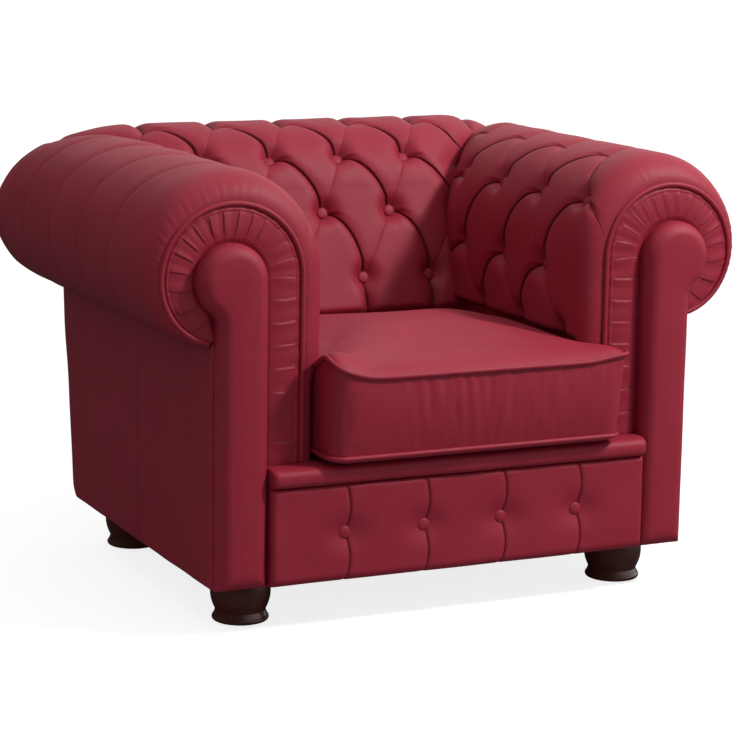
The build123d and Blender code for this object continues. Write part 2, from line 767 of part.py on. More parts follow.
def spring_clips():
    """Steel clips that hold the ends of the springs on the rails."""
    clips = []
    for y in spring_ends():
        bore = Rot(0, 90, 0) * Cylinder(spring_wire_radius + wire_play, 2 * clip_width)
        block = Box(clip_width, clip_size, clip_size) - bore
        clips += [Pos(x, y, spring_height) * block for x in spring_columns()]
    return group(clips)


def seat_deck_pad():
    z0, z1 = spring_height + spring_wire_radius, deck_top - deck_cloth_thickness
    pad = box(-deck_half, deck_half, board_front_y, back_strip_y - deck_gap, z0, z1)
    y, room = spring_ends()[0], clip_size + 2 * slide_gap
    return pad - [Pos(x, y, spring_height) * Box(room, room, room) for x in spring_columns()]


def deck_cloth():
    z0 = deck_top - deck_cloth_thickness
    return box(-deck_half, deck_half, board_front_y, back_strip_y - deck_gap, z0, deck_top)


def foot_places():
    return [(sx * foot_x, y) for y in (front_foot_y, rear_foot_y) for sx in (-1, 1)]


def dust_cover():
    half = side_rail_out - dust_cover_gap
    sheet = box(-half, half, board_front_y, rear_rail_back, foot_top, rail_bottom)
    hole = Cylinder(bolt_radius + 2 * slide_gap, clip_size)
    return sheet - [Pos(x, y, rail_bottom) * hole for x, y in foot_places()]


def corner_blocks():
    """Blocks in the corners of the base, which the feet are bolted to."""
    blocks = []
    for sx in (-1, 1):
        for y0, y1, foot_y in ((board_back_y, front_foot_y + block_reach, front_foot_y),
                               (rear_foot_y - block_reach, rear_rail_front, rear_foot_y)):
            x0, x1 = sorted((sx * (foot_x - block_reach), sx * side_rail_in))
            block = box(x0, x1, y0, y1, rail_bottom, rail_bottom + block_thickness)
            hole = Cylinder(tee_nut_radius + thread_play, 4 * block_thickness)
            blocks.append(block - Pos(sx * foot_x, foot_y, rail_bottom) * hole)
    return group(blocks)


def foot():
    """A turned bun foot with the hole for its bolt."""
    r = [foot_radius * girth for girth in foot_girths]
    z = [glide_thickness] + [foot_top * height for height in foot_heights] + [foot_top]
    base, bead, collar, groove, waist, belly, shoulder, rim = zip(r, (0,) * 8, z)
    edges = [line((0, 0, z[0]), base), arc(base, bead, collar), line(collar, groove), line(groove, waist),
             arc(waist, belly, shoulder), line(shoulder, rim), line(rim, (0, 0, foot_top)),
             line((0, 0, foot_top), (0, 0, z[0]))]
    turned = Solid.revolve(Face(Wire(edges)), 360, Axis.Z)
    hole = Cylinder(bolt_radius + thread_play, 2 * bolt_in_foot + bolt_hole_spare)
    return turned - Pos(0, 0, foot_top) * hole


def at_feet(shape):
    return group([Pos(x, y, 0) * shape for x, y in foot_places()])


def foot_bolts():
    low, high = foot_top - bolt_in_foot, rail_bottom + block_thickness + tee_flange_thickness
    return at_feet(Pos(0, 0, (low + high) / 2) * Cylinder(bolt_radius, high - low))


def tee_nuts():
    high = rail_bottom + block_thickness
    low = high - tee_nut_length
    flange = Pos(0, 0, high + tee_flange_thickness / 2) * Cylinder(tee_flange_radius, tee_flange_thickness)
    barrel = Pos(0, 0, (low + high) / 2) * Cylinder(tee_nut_radius, high - low)
    hole = Cylinder(bolt_radius + thread_play, 4 * block_thickness)
    return at_feet(flange + barrel - Pos(0, 0, high) * hole)


def foot_glides():
    return at_feet(Pos(0, 0, glide_thickness / 2) * Cylinder(glide_radius, glide_thickness))


# Loose cushion: a leather cover with piped edges around a foam core
def rounded_loop(corners, z):
    """A closed line through corners given as (x, y, radius)."""
    ends = []
    for i, (x, y, r) in enumerate(corners):
        before, after = corners[i - 1], corners[(i + 1) % len(corners)]
        toward = Vector(before[0] - x, before[1] - y).normalized()
        onward = Vector(after[0] - x, after[1] - y).normalized()
        half = toward.get_angle(onward) / 2
        cut = r / math.tan(math.radians(half))
        corner = Vector(x, y, z)
        inward = (toward + onward).normalized()
        middle = corner + inward * (r / math.sin(math.radians(half)) - r)
        ends.append((corner + toward * cut, middle, corner + onward * cut))
    edges = []
    for i, (start, middle, end) in enumerate(ends):
        edges.append(arc(start, middle, end))
        edges.append(line(end, ends[(i + 1) % len(ends)][0]))
    return Wire(edges)


def cushion_outline(skin, draw, z, lobes=False):
    """The cushion from above, under a skin and drawn in, with or without lobes before the arms."""
    inset = welt_radius + cushion_welt_out + skin + draw
    side, front = seat_half_width - slide_gap - inset, -overall_depth / 2 + inset
    rear = back_strip_y - cushion_rear_gap - inset
    corner, front_corner = cushion_corner - skin, cushion_front_corner - skin
    half = [(side - cushion_side_bow, (front + rear) / 2, cushion_side_bow_radius), (side, rear, corner)]
    if lobes:
        flare, neck = side + cushion_flare, face_y - cushion_lobe_gap - inset
        small, large = cushion_lobe_corner - skin, cushion_lobe_corner + skin
        lobe = [(flare, front + cushion_front_bow, front_corner), (flare, neck - cushion_flare / 2, small)]
        half = lobe + [(side, neck, large)] + half
    else:
        half = [(side, front + cushion_front_bow, front_corner)] + half
    other = [(-x, y, r) for x, y, r in reversed(half)]
    return rounded_loop([(0, front, cushion_front_bow_radius)] + half + other, z)


def cushion_body(skin, rise):
    """The crowned cushion, under a skin of some thickness."""
    low, high = cushion_welt_bottom + skin, cushion_welt_top - skin
    base = [(cushion_bottom + skin, cushion_base_draw), (low, 0)]
    boxing = [(low, 0), ((low + high) / 2, -cushion_boxing_bulge), (high, 0)]
    crown = [(high + rise * share, draw) for share, draw in cushion_crown_levels]
    body = loft_solid([cushion_outline(skin, draw, z, True) for z, draw in boxing])
    for levels in (base, crown):
        body = body + loft_solid([cushion_outline(skin, draw, z) for z, draw in levels])
    return body


def cushion_welt(z):
    """A piped edge all round the cushion."""
    path = cushion_outline(-cushion_welt_out, 0, z, True)
    circle = Plane(origin=path @ 0, z_dir=path % 0) * Circle(welt_radius)
    return sweep(circle, path)


def mirrored(shape):
    return mirror(shape, about=Plane.YZ)


parts = {
    "back_cover": back_cover(),
    "back_foam": back_foam(),
    "back_buttons": group([button_at(back_place, n) for n in back_nodes]),
    "front_panel": front_panel(),
    "front_panel_buttons": group([button_at(back_place, n) for n in front_nodes()]),
    "front_lip": front_lip(),
    "outside_back_panel": outside_back_panel(),
    "front_rail": front_rail(),
    "rear_rail": rear_rail(),
    "back_tack_rail": back_tack_rail(),
    "back_top_rail": back_top_rail(),
    "back_webbing": back_webbing(),
    "seat_springs": seat_springs(),
    "spring_clips": spring_clips(),
    "seat_deck_pad": seat_deck_pad(),
    "deck_cloth": deck_cloth(),
    "dust_cover": dust_cover(),
    "corner_blocks": corner_blocks(),
    "foot_bolts": foot_bolts(),
    "tee_nuts": tee_nuts(),
    "foot_glides": foot_glides(),
}
right_arm = {
    "arm_cover": arm_cover(),
    "arm_foam": arm_foam(),
    "arm_buttons": group([button_at(arm_place, n) for n in arm_nodes]),
    "arm_front_board": arm_front_board(),
    "facing_pad": facing_pad(),
    "pleated_border": pleated_border(),
    "facing_welt": facing_welt(),
    "outside_arm_panel": outside_arm_panel(),
    "side_rail": side_rail(),
    "arm_tack_rail": arm_tack_rail(),
    "arm_top_rail": arm_top_rail(),
    "arm_webbing": arm_webbing(),
    "arm_rear_post": arm_rear_post(),
    "back_side_board": back_side_board(),
}
for name, shape in right_arm.items():
    parts["right_" + name] = shape
    parts["left_" + name] = mirrored(shape)
for name, (x, y) in zip(("front_left", "front_right", "rear_left", "rear_right"), foot_places()):
    parts[name + "_foot"] = Pos(x, y, 0) * foot()

top_welt, bottom_welt = cushion_welt(cushion_welt_top), cushion_welt(cushion_welt_bottom)
parts["cushion_top_welt"] = top_welt
parts["cushion_bottom_welt"] = bottom_welt
hollow = cushion_body(cushion_skin, cushion_crown)
parts["cushion_cover"] = cushion_body(0.0, cushion_crown) - hollow - top_welt - bottom_welt
parts["cushion_core"] = cushion_body(cushion_skin + 3 * fit, cushion_crown - cushion_core_drop)

os.makedirs("parts", exist_ok=True)
for name, shape in parts.items():
    export_step(shape, "parts/" + name + ".step")
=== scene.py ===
import math

import bmesh
import bpy
import numpy as np
from mathutils import Matrix, Vector


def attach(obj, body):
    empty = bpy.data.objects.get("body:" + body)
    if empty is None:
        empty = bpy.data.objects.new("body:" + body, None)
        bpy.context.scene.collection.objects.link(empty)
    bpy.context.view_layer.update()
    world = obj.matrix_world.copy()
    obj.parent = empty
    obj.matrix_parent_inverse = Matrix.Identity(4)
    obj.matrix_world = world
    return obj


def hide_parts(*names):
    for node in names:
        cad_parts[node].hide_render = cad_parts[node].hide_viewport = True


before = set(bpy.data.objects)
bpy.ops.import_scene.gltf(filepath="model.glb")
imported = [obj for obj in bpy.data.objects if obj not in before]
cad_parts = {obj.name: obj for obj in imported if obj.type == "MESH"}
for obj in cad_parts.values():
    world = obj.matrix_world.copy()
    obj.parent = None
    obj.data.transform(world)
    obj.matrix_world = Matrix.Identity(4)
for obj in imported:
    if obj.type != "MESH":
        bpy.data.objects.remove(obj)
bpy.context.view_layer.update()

# Hardwood frame: sawn beech rails, posts and corner blocks, glued, screwed and stapled together.
# The leather hides all of it, so it keeps its sawn finish.


class Shade:
    """A socket of a material's nodes. Arithmetic on it adds Math nodes to the same tree."""

    def __init__(self, tree, socket=None):
        self.tree = tree
        self.socket = socket

    def node(self, kind, settings=None, inputs=None, output=0):
        """Adds a node, sets it up, fills or links its sockets and returns one of its outputs."""
        made = self.tree.nodes.new("ShaderNode" + kind)
        for key, value in (settings or {}).items():
            setattr(made, key, value)
        for key, value in (inputs or {}).items():
            if isinstance(value, Shade):
                self.tree.links.new(value.socket, made.inputs[key])
            else:
                made.inputs[key].default_value = value
        return Shade(self.tree, made.outputs[output])

    def maths(self, operation, first, second):
        return self.node("Math", {"operation": operation}, {0: first, 1: second})

    def __add__(self, other):
        return self.maths("ADD", self, other)

    def __sub__(self, other):
        return self.maths("SUBTRACT", self, other)

    def __rsub__(self, other):
        return self.maths("SUBTRACT", other, self)

    def __mul__(self, other):
        return self.maths("MULTIPLY", self, other)

    __radd__ = __add__
    __rmul__ = __mul__

    def mix(self, first, second):
        """A colour that goes from the first to the second as this value goes from 0 to 1."""
        sockets = {0: self, 6: first, 7: second}
        return self.node("Mix", {"data_type": "RGBA"}, sockets, 2)

    def noise(self, scale, detail):
        """Cloudy noise over the places that this socket gives."""
        return self.node("TexNoise", None, {"Vector": self, "Scale": scale, "Detail": detail})

    def feeds(self, name):
        """Links this socket to a socket of the tree's surface shader."""
        surface = self.tree.nodes["Principled BSDF"]
        self.tree.links.new(self.socket, surface.inputs[name])


def srgb(red, green, blue):
    """A colour as a screen shows it, from 0 to 255, in the linear values that shaders take."""
    shares = [c / 255 for c in (red, green, blue)]
    return [c / 12.92 if c < 0.04045 else ((c + 0.055) / 1.055) ** 2.4 for c in shares] + [1.0]


def new_material(name, **constants):
    """A material with constant values on its surface shader, and the start of its nodes."""
    made = bpy.data.materials.new(name)
    made.use_nodes = True
    surface = made.node_tree.nodes["Principled BSDF"]
    for key, value in constants.items():
        surface.inputs[key.replace("_", " ")].default_value = value
    return made, Shade(made.node_tree)


def wood(name, pale, dark, along, **constants):
    """Timber with its grain drawn out along one direction."""
    made, here = new_material(name, **constants)
    place = here.node("TexCoord", output="Object")
    drawn = here.node("Mapping", None, {"Vector": place, "Scale": along})
    grain = drawn.noise(60.0, 6.0)
    pores = drawn.noise(420.0, 2.0)
    (grain * 0.8 + pores * 0.3).mix(pale, dark).feeds("Base Color")
    bump = {"Height": grain + pores, "Strength": 0.08, "Distance": 0.001}
    here.node("Bump", None, bump).feeds("Normal")
    return made


def dress(names, material):
    """Gives CAD pieces that keep their shape a finish."""
    for name in names:
        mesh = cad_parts[name].data
        mesh.materials.clear()
        mesh.materials.append(material)


def both(*names):
    """The names of a pair of pieces, one on each side."""
    return [side + name for name in names for side in ("left_", "right_")]


beech_pale = srgb(206, 172, 128)
beech_dark = srgb(168, 130, 88)
beech = wood("beech", beech_pale, beech_dark, (0.12, 1.0, 1.0), Roughness=0.7)
cross_rails = ["front_rail", "rear_rail", "back_tack_rail", "back_top_rail", "corner_blocks"]
dress(cross_rails, beech)
beech_deep = wood("beech_side", beech_pale, beech_dark, (1.0, 0.12, 1.0), Roughness=0.7)
dress(both("side_rail", "arm_tack_rail", "arm_top_rail"), beech_deep)
beech_tall = wood("beech_post", beech_pale, beech_dark, (1.0, 1.0, 0.12), Roughness=0.7)
dress(both("arm_rear_post"), beech_tall)

# Plywood boards: the scroll at each arm front and the sides of the back, cut from birch sheet.
# They are screwed to the rails and give the rolls their shape.
birch = wood("birch_plywood", srgb(214, 186, 146), srgb(184, 150, 108), (0.2, 1.0, 1.0), Roughness=0.65)
dress(both("arm_front_board", "back_side_board"), birch)

# Webbing, springs and clips: woven elastic straps in the arms and back, zigzag steel wire in the seat.
# The straps are stapled to the frame, and the springs hook into steel clips on the rails.
woven, here = new_material("webbing", Roughness=0.9)
place = here.node("TexCoord", output="Object")
weave = here.node("TexWave", {"bands_direction": "DIAGONAL"}, {"Vector": place, "Scale": 180.0})
weave.mix(srgb(70, 66, 60), srgb(44, 42, 40)).feeds("Base Color")
dress(["back_webbing"] + both("arm_webbing"), woven)
steel, here = new_material("steel", Metallic=1.0, Base_Color=srgb(150, 152, 155))
place = here.node("TexCoord", output="Object")
drawn = place.noise(90.0, 3.0)
(drawn * 0.25 + 0.28).feeds("Roughness")
dress(["seat_springs", "spring_clips", "foot_bolts", "tee_nuts"], steel)

# Deck pad, deck cloth and dust cover: felt over the springs, dark red linen on it, black cloth below.
# The pad lies loose on the springs, and the cloths are stapled to the rails all round.


def speckled(name, scale, detail, first, second, roughness):
    """A matt material whose colour wanders between two tones in fine specks."""
    made, here = new_material(name, Roughness=roughness)
    place = here.node("TexCoord", output="Object")
    place.noise(scale, detail).mix(first, second).feeds("Base Color")
    return made


lining_cloth = speckled("lining_cloth", 900.0, 2.0, srgb(30, 24, 25), srgb(52, 44, 44), 0.95)
dress(["dust_cover"], lining_cloth)
deck_linen = speckled("deck_linen", 900.0, 2.0, srgb(64, 10, 20), srgb(84, 16, 28), 0.9)
dress(["deck_cloth"], deck_linen)


def in_scene(name, data):
    """A new object in the scene that holds a mesh, a lamp or a camera."""
    made = bpy.data.objects.new(name, data)
    bpy.context.scene.collection.objects.link(made)
    return made


def made_object(name, mesh, body, node, material):
    """A piece of the object, which stands for a CAD node and moves with a body."""
    piece = in_scene(name, mesh)
    mesh.materials.clear()
    mesh.materials.append(material)
    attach(piece, body)
    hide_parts(node)
    return piece


def softened_copy(node, body, material, rounds):
    """A foam or felt piece: the CAD form with its edges worn soft."""
    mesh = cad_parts[node].data.copy()
    piece = made_object(node + "_soft", mesh, body, node, material)
    skin = piece.modifiers.new("skin", "REMESH")
    skin.mode = "VOXEL"
    skin.voxel_size = 0.006
    skin.use_smooth_shade = True
    worn = piece.modifiers.new("worn", "SMOOTH")
    worn.iterations = rounds
    return piece


felt = speckled("deck_felt", 260.0, 5.0, srgb(92, 62, 62), srgb(70, 44, 46), 1.0)
softened_copy("seat_deck_pad", "chair", felt, 3)

# Feet: turned hardwood bun feet with a dark polished stain, on black glides.
# A bolt goes up through each foot into a tee nut in the corner block.
foot_stain = wood("stained_foot", srgb(96, 46, 38), srgb(56, 24, 19), (1.0, 1.0, 0.2),
                  Roughness=0.32, Coat_Weight=0.35, Coat_Roughness=0.15)
feet = ["front_left_foot", "front_right_foot", "rear_left_foot", "rear_right_foot"]
dress(feet, foot_stain)
glide, here = new_material("glide_plastic", Roughness=0.5, Base_Color=srgb(22, 22, 23))
dress(["foot_glides"], glide)

# Foam pads over the frame: cut polyurethane foam, which gives the arms and the back their thickness.
# They are glued to the boards and the webbing, and wrapped round the rolls.
foam = speckled("foam", 700.0, 3.0, srgb(236, 224, 186), srgb(206, 190, 150), 1.0)
for foam_node in ["back_foam"] + both("arm_foam"):
    softened_copy(foam_node, "chair", foam, 3)

# Tufted back: leather over loose fibre, drawn down at buttons on a diamond lattice and pleated between.
# The pleats fold downwards, and above the top row the leather runs in channels over and under the roll.


def leather(name):
    """Corrected-grain leather with a soft shine: fine pebbles, faint mottling, and painted shade darkening
    its folds.
    """
    made, here = new_material(name, Specular_IOR_Level=0.38, Sheen_Weight=0.02, Sheen_Roughness=0.4,
                              Sheen_Tint=srgb(255, 214, 220))
    place = here.node("TexCoord", output="Object")
    cloud = place.noise(9.0, 4.0)
    speck = place.noise(140.0, 3.0)
    tone = cloud * 0.7 + speck * 0.3
    plain = tone.mix(srgb(134, 18, 40), srgb(148, 24, 48))
    # Painted shade: where a mesh marks its folds, creases and seams, the colour is mixed towards a dark
    # red.
    painted_fold_shade = here.node("Attribute", {"attribute_name": "painted_fold_shade"}, None, "Fac")
    painted_fold_shade.mix(plain, srgb(70, 4, 16)).feeds("Base Color")
    (cloud * 0.12 + speck * 0.1 + 0.50).feeds("Roughness")
    pebble = here.node("TexVoronoi", None, {"Vector": place, "Scale": 620.0})
    crease = place.noise(210.0, 5.0)
    height = pebble * 0.5 + crease * 0.6
    bump = {"Height": height, "Strength": 0.16, "Distance": 0.0006}
    here.node("Bump", None, bump).feeds("Normal")
    return made


red_leather = leather("red_leather")
roll_radius = 0.154
roll_top = 0.756
roll_z = roll_top - roll_radius
tuck_out = 0.044
tuck_drop = 0.132
tuft_bottom = 0.440
strip_bottom = 0.268
mitre_shift = 0.095
back_half_depth = 0.455
back_roll_y = back_half_depth - roll_radius


def unit(values):
    """Values held between 0 and 1."""
    return np.clip(values, 0, 1)


class RolledSection:
    """The section of a rolled arm or back as (out, up): a straight front, the roll, a tuck under it."""

    def __init__(self, out, up, radius, rake, tuck, tuck_up, bottom):
        self.out, self.up, self.radius, self.rake, self.bottom = out, up, radius, rake, bottom
        self.straight = (up + radius * math.sin(rake) - bottom) / math.cos(rake)
        self.over = math.pi - rake
        reach = out + radius - tuck
        self.under_radius = (reach**2 + (up - tuck_up) ** 2) / (2 * reach)
        self.under_out = out + radius - self.under_radius
        self.under = math.atan2(up - tuck_up, tuck - self.under_out)
        self.turn = self.straight + radius * self.over
        self.length = self.turn + self.under_radius * self.under

    def shares(self, v):
        """How far along each of its three stretches a distance is."""
        ends = [0.0, self.straight, self.turn, self.length]
        return np.interp(v, ends, [0.0, 1.0, 2.0, 3.0])

    def at(self, share, depth):
        """Points on the section, set in by a depth, from shares of its stretches."""
        over = unit(share - 1)
        under = unit(share - 2)
        angle = self.over * (1 - over) - self.under * under
        rim = np.where(share > 2, self.under_radius, self.radius) - depth
        middle = np.where(share > 2, self.under_out, self.out)
        back = self.straight * (1 - unit(share))
        out = middle + rim * np.cos(angle) - back * math.sin(self.rake)
        return out, self.up + rim * np.sin(angle) - back * math.cos(self.rake)

    def from_angle(self, degrees):
        """How far along the section a place on the roll is, given by its angle."""
        return self.straight + self.radius * (self.over - math.radians(degrees))


def swell(distance, reach, power):
    """How far a pillow has risen at a distance from its edge, from 0 to 1."""
    return np.sin(np.pi / 2 * unit(distance / reach)) ** power


def ripple(first, second, seed):
    """Slow unevenness over a surface, about -1 to 1."""
    rng = np.random.default_rng(seed)
    total = np.zeros(np.broadcast(first, second).shape)
    for _ in range(7):
        turn, wave, start = rng.uniform(0, 6.28), rng.uniform(18, 60), rng.uniform(0, 6.28)
        total += np.sin(wave * (first * math.cos(turn) + second * math.sin(turn)) + start)
    return total / 3.5


def grid_mesh(name, points, painted_fold_shade=None, closed=False):
    """A smooth mesh over a grid of points, with the painted shade of its folds kept for the leather's
    colour.
    """
    rows, columns = points.shape[:2]
    index = np.arange(rows * columns).reshape(rows, columns)
    across = np.concatenate([index, index[:, :1]], 1) if closed else index
    quads = np.stack([across[:-1, :-1], across[:-1, 1:], across[1:, 1:], across[1:, :-1]], -1)
    mesh = bpy.data.meshes.new(name)
    mesh.from_pydata(points.reshape(-1, 3).tolist(), [], quads.reshape(-1, 4).tolist())
    if painted_fold_shade is not None:
        layer = mesh.attributes.new("painted_fold_shade", "FLOAT", "POINT")
        layer.data.foreach_set("value", unit(painted_fold_shade).astype(np.float32).ravel())
    merge = 0.00005
    work = bmesh.new()
    work.from_mesh(mesh)
    bmesh.ops.remove_doubles(work, verts=work.verts, dist=merge)
    bmesh.ops.dissolve_degenerate(work, edges=work.edges, dist=merge)
    work.to_mesh(mesh)
    work.free()
    mesh.shade_smooth()
    return mesh


def leather_piece(name, points, node, painted_fold_shade=None, body="chair", closed=False):
    """A leather skin over a grid of points, which stands for a CAD node."""
    return made_object(name, grid_mesh(name, points, painted_fold_shade, closed), body, node, red_leather)


pleat_bow = 1.9
pillow_reach = 0.024
pillow_power = 0.7
bowed_share = 0.42
plain_share = 0.14
lip_share = 0.5
lip_width = 0.0022
lip_overhang = 0.004
button_well = 0.019
button_depth = 0.022
level_step = 0.0036
segment_columns = 22
slant_reach = 0.18
fold_shade_width = 0.003
well_shares = (0.25, 1.0, 1.0, 1.0)
mitre_reach = 0.034
mitre_draw = 0.020
mitre_draw_reach = 0.11
mitre_free_tail = 0.08
mitre_tail_reach = 0.16
seam_reach = 0.012
unevenness = 0.0010
well_reach = 0.06
button_sink = 0.003
roll_blend = 0.1
full_fold = 0.016
band_inset = 0.004
band_draw = 0.011
band_draw_reach = 0.03
row_lean = ([0.0, 1.0, 2.0], [1.0, 0.6, 0.0])


def fold_places(slots, row, part):
    """Where the folds between button columns lie, part of the way from one row to the next."""
    bowed = slots + (1 - (1 - part) ** pleat_bow) ** (1 / pleat_bow)
    plain = slots + 1 - part
    return np.where((slots + row) % 2 == 0, bowed, plain)


def between_folds(edges, count):
    """Places across a cover, close together at its folds, and their distances from both folds."""
    u = (1 - np.cos(np.linspace(0, np.pi, count + 1)[:-1])) / 2
    left, right = edges[:-1, None], edges[1:, None]
    places = np.append((left + (right - left) * u).ravel(), edges[-1])
    near = np.append(((right - left) * u).ravel(), right[-1] - left[-1])
    far = np.append(((right - left) * (1 - u)).ravel(), 0.0)
    return places, near, far


class Tufting:
    """A tufted cover over a section: its rows of buttons, the pleats between them and its ends."""

    def __init__(self, section, strip, rows, slots, start, half, lean, slant, crown, depths):
        self.section, self.strip, self.rows, self.slots, self.slant = section, strip, rows, slots, slant
        self.start, self.half, self.lean, self.crown, self.depths = start, half, lean, crown, depths

    def place(self, number, step):
        """Where a button column lies along the piece, at a step between the rows."""
        return self.start + self.half * number + self.lean * np.interp(step, *row_lean)

    def levels(self):
        """Distances up the section, close together above each row of buttons."""
        stops = [0.0, *self.rows[::-1], self.section.length]
        found = [np.linspace(strip_bottom - self.section.bottom, 0, 14)[:-1]]
        for low, high in zip(stops[:-1], stops[1:]):
            shares = np.linspace(0, 1, max(3, int((high - low) / level_step)) + 1)[:-1]
            found.append(low + (high - low) * (1 - (1 - shares) ** 1.25))
        return np.append(np.concatenate(found), self.section.length)

    def wells(self):
        """Each place where a button draws the cover in: along, up the section, and how deep."""
        for row, deep in enumerate(well_shares):
            for number in range(self.slots[0] + 2, self.slots[-1] + 3):
                if (number + row) % 2 == 0:
                    yield float(self.place(number, row)), self.rows[row], deep

    def folds_at(self, v, step, low, high, front):
        """The folds across the cover at one level, from its one end to the other."""
        row = min(int(step), 2)
        edges = self.place(fold_places(self.slots, row, step - row), step)
        edges = edges + self.slant * unit((v - self.rows[0]) / slant_reach)
        if front:
            edges = front(edges, step, low, self.place(1, 1))
        return np.concatenate([[low], np.clip(edges, low, high), [high]])

    def pillows(self, near, far, opens, step):
        """How high the pillows stand, how far their lips hang down, and how much painted shade their folds
        get.
        """
        part = step - min(int(step), 2)
        between = 0 < step < 3
        ends = abs(2 * part - 1) ** 4 if between else 0.8
        bowed, plain = (share + (1 - share) * ends for share in (bowed_share, plain_share))
        lip = lip_share * min(1.0, part / 0.1) * between
        height = 1.0
        for gap, weight in ((near, np.where(opens, plain, bowed)), (far, np.where(opens, bowed, plain))):
            raised = np.where(opens, 0.0, lip * np.sqrt(unit(gap / lip_width)))
            swollen = swell(gap, pillow_reach, pillow_power)
            height = height * (1 - weight * (1 - raised) * (1 - swollen))
        over_fold = np.sqrt(unit(np.minimum(near, far) / lip_width))
        slack = np.where(opens, 0.0, lip / lip_share * lip_overhang * (1 - height) * over_fold)
        # Painted shade: a dark line along each fold, and darkness where the pillows fall into it.
        painted_slit_shade = np.exp(-((np.where(opens, far, near) / fold_shade_width) ** 2)) * between
        return height, slack, np.maximum(0.75 * painted_slit_shade, (1 - height) ** 2)

    def drawn_in(self, s, v, depth):
        """The depth of the cover at one level, with the hollows that the buttons draw into it."""
        for place, level, share in self.wells():
            if abs(v - level) < well_reach:
                well = np.exp(-(((s - place) ** 2 + (v - level) ** 2) / button_well**2))
                depth = depth + np.maximum(button_depth * share - depth, 0) * well
        return depth

    def cover(self, limits, front=None, flush=None):
        """Points of the cover: distance along the piece, out, up, painted fold shade, and section shares.
        """
        section, levels = self.section, self.levels()
        columns = np.arange(self.slots[0], self.slots[-1] + 2)
        steps = np.interp(levels, self.rows[::-1], [3.0, 2.0, 1.0, 0.0])
        lines = []
        for v, step in zip(levels, steps):
            edge_out = float(section.at(section.shares(max(v, 0.0)), 0.0)[0])
            low, high = limits(edge_out, v)
            edges = self.folds_at(v, step, low, high, front)
            s, near, far = between_folds(edges, segment_columns)
            even_slot = (columns + min(int(step), 2)) % 2 == 0
            opens = np.append(np.repeat(even_slot, segment_columns), even_slot[-1])
            at_low = np.append(np.repeat(edges[:-1] <= low, segment_columns), False)
            at_high = np.append(np.repeat(edges[1:] >= high, segment_columns), True)
            near, far = np.where(at_low, 1.0, near), np.where(at_high, 1.0, far)
            height, slack, crease = self.pillows(near, far, opens, step)
            to_mitre = high - s if front else np.minimum(s - low, high - s)
            seam = swell(max(v, 0.0), seam_reach, 0.5)
            even = flush(s) if flush else 0.0
            seam = seam + (1 - seam) * even
            height = height * swell(to_mitre, mitre_reach, 0.5) * seam
            deep = np.interp(v, *self.depths)
            depth = self.drawn_in(s, v, deep * (1 - height))
            rolled = unit((v - section.straight) / roll_blend)
            tail = unit((section.length - v - mitre_free_tail) / mitre_tail_reach)
            into_mitre = tail * mitre_draw * (1 - swell(to_mitre, mitre_draw_reach, 1.0))
            depth = depth + rolled * (into_mitre - self.crown * height)
            depth = depth + unevenness * ripple(s, v, 5) * seam
            if v < 0:
                drawn = band_draw * min(1.0, -v / band_draw_reach)
                flat = section.out - section.radius + band_inset + drawn
                line_out = self.strip - even * (self.strip - flat) + 0 * s
                line_up = np.full_like(s, section.bottom + v)
            else:
                line_out, line_up = section.at(section.shares(np.maximum(v - slack, 0.0)), depth)
                pull = 1 - swell(to_mitre, mitre_reach, 1.0)
                s = s + (line_out - edge_out) * pull * (1 if front else np.sign(s))
            # The painted shade grows with how deep the cover is drawn in.
            lines.append((s, line_out, line_up, crease * unit(deep / full_fold)))
        return [np.array(part) for part in zip(*lines)], section.shares(np.maximum(levels, 0.0))

    def buttons(self, numbers):
        """Where the buttons sit, row by row: distance along, the seat as out and up, the way they face."""
        places = []
        for row, chosen in enumerate(numbers):
            share = self.section.shares(self.rows[row])
            base = [float(c) for c in self.section.at(share, button_depth - button_sink)]
            top = [float(c) for c in self.section.at(share, 0.0)]
            for number in chosen:
                places.append((float(self.place(number, row)), base, (top[0] - base[0], top[1] - base[1])))
        return places


back_rake = math.radians(18.0)
back_bottom = 0.428
back_section = RolledSection(back_roll_y, roll_z, roll_radius, back_rake,
                             back_roll_y + tuck_out, roll_z - tuck_drop, back_bottom)
back_pitch = 0.136
back_more = (tuft_bottom - back_bottom) / math.cos(back_rake)
back_rows = [back_section.from_angle(100.0), back_section.from_angle(136.0),
             (back_section.straight - back_more) * 0.808 + back_more,
             (back_section.straight - back_more) * 0.25 + back_more]
back_strip = 0.100
back_foot_out = float(back_section.at(np.array(0.0), 0.0)[0])
back_recess = (back_strip - back_foot_out) / math.cos(back_rake)
back_depths = ([0.0, 0.006, back_rows[1], back_rows[0], back_rows[0] + 0.08, back_section.length],
               [back_recess, 0.018, 0.019, 0.008, 0.006, 0.002])
arm_strip = 0.270
back_tufting = Tufting(back_section, back_strip, back_rows, np.arange(-9, 9), start=0.0,
                       half=back_pitch / 2, lean=-0.034, slant=0.0, crown=0.008, depths=back_depths)


def back_limits(out, v):
    """Where the back's cover ends at both mitres, for a place on its section."""
    reach = max(out + mitre_shift, arm_strip + 0.002)
    return -reach, reach


(back_x, back_out, back_up, back_fold_shade), _ = back_tufting.cover(back_limits)
back_points = np.stack([back_x, back_out, back_up], -1)
back_leather = leather_piece("back_leather", back_points, "back_cover", back_fold_shade)


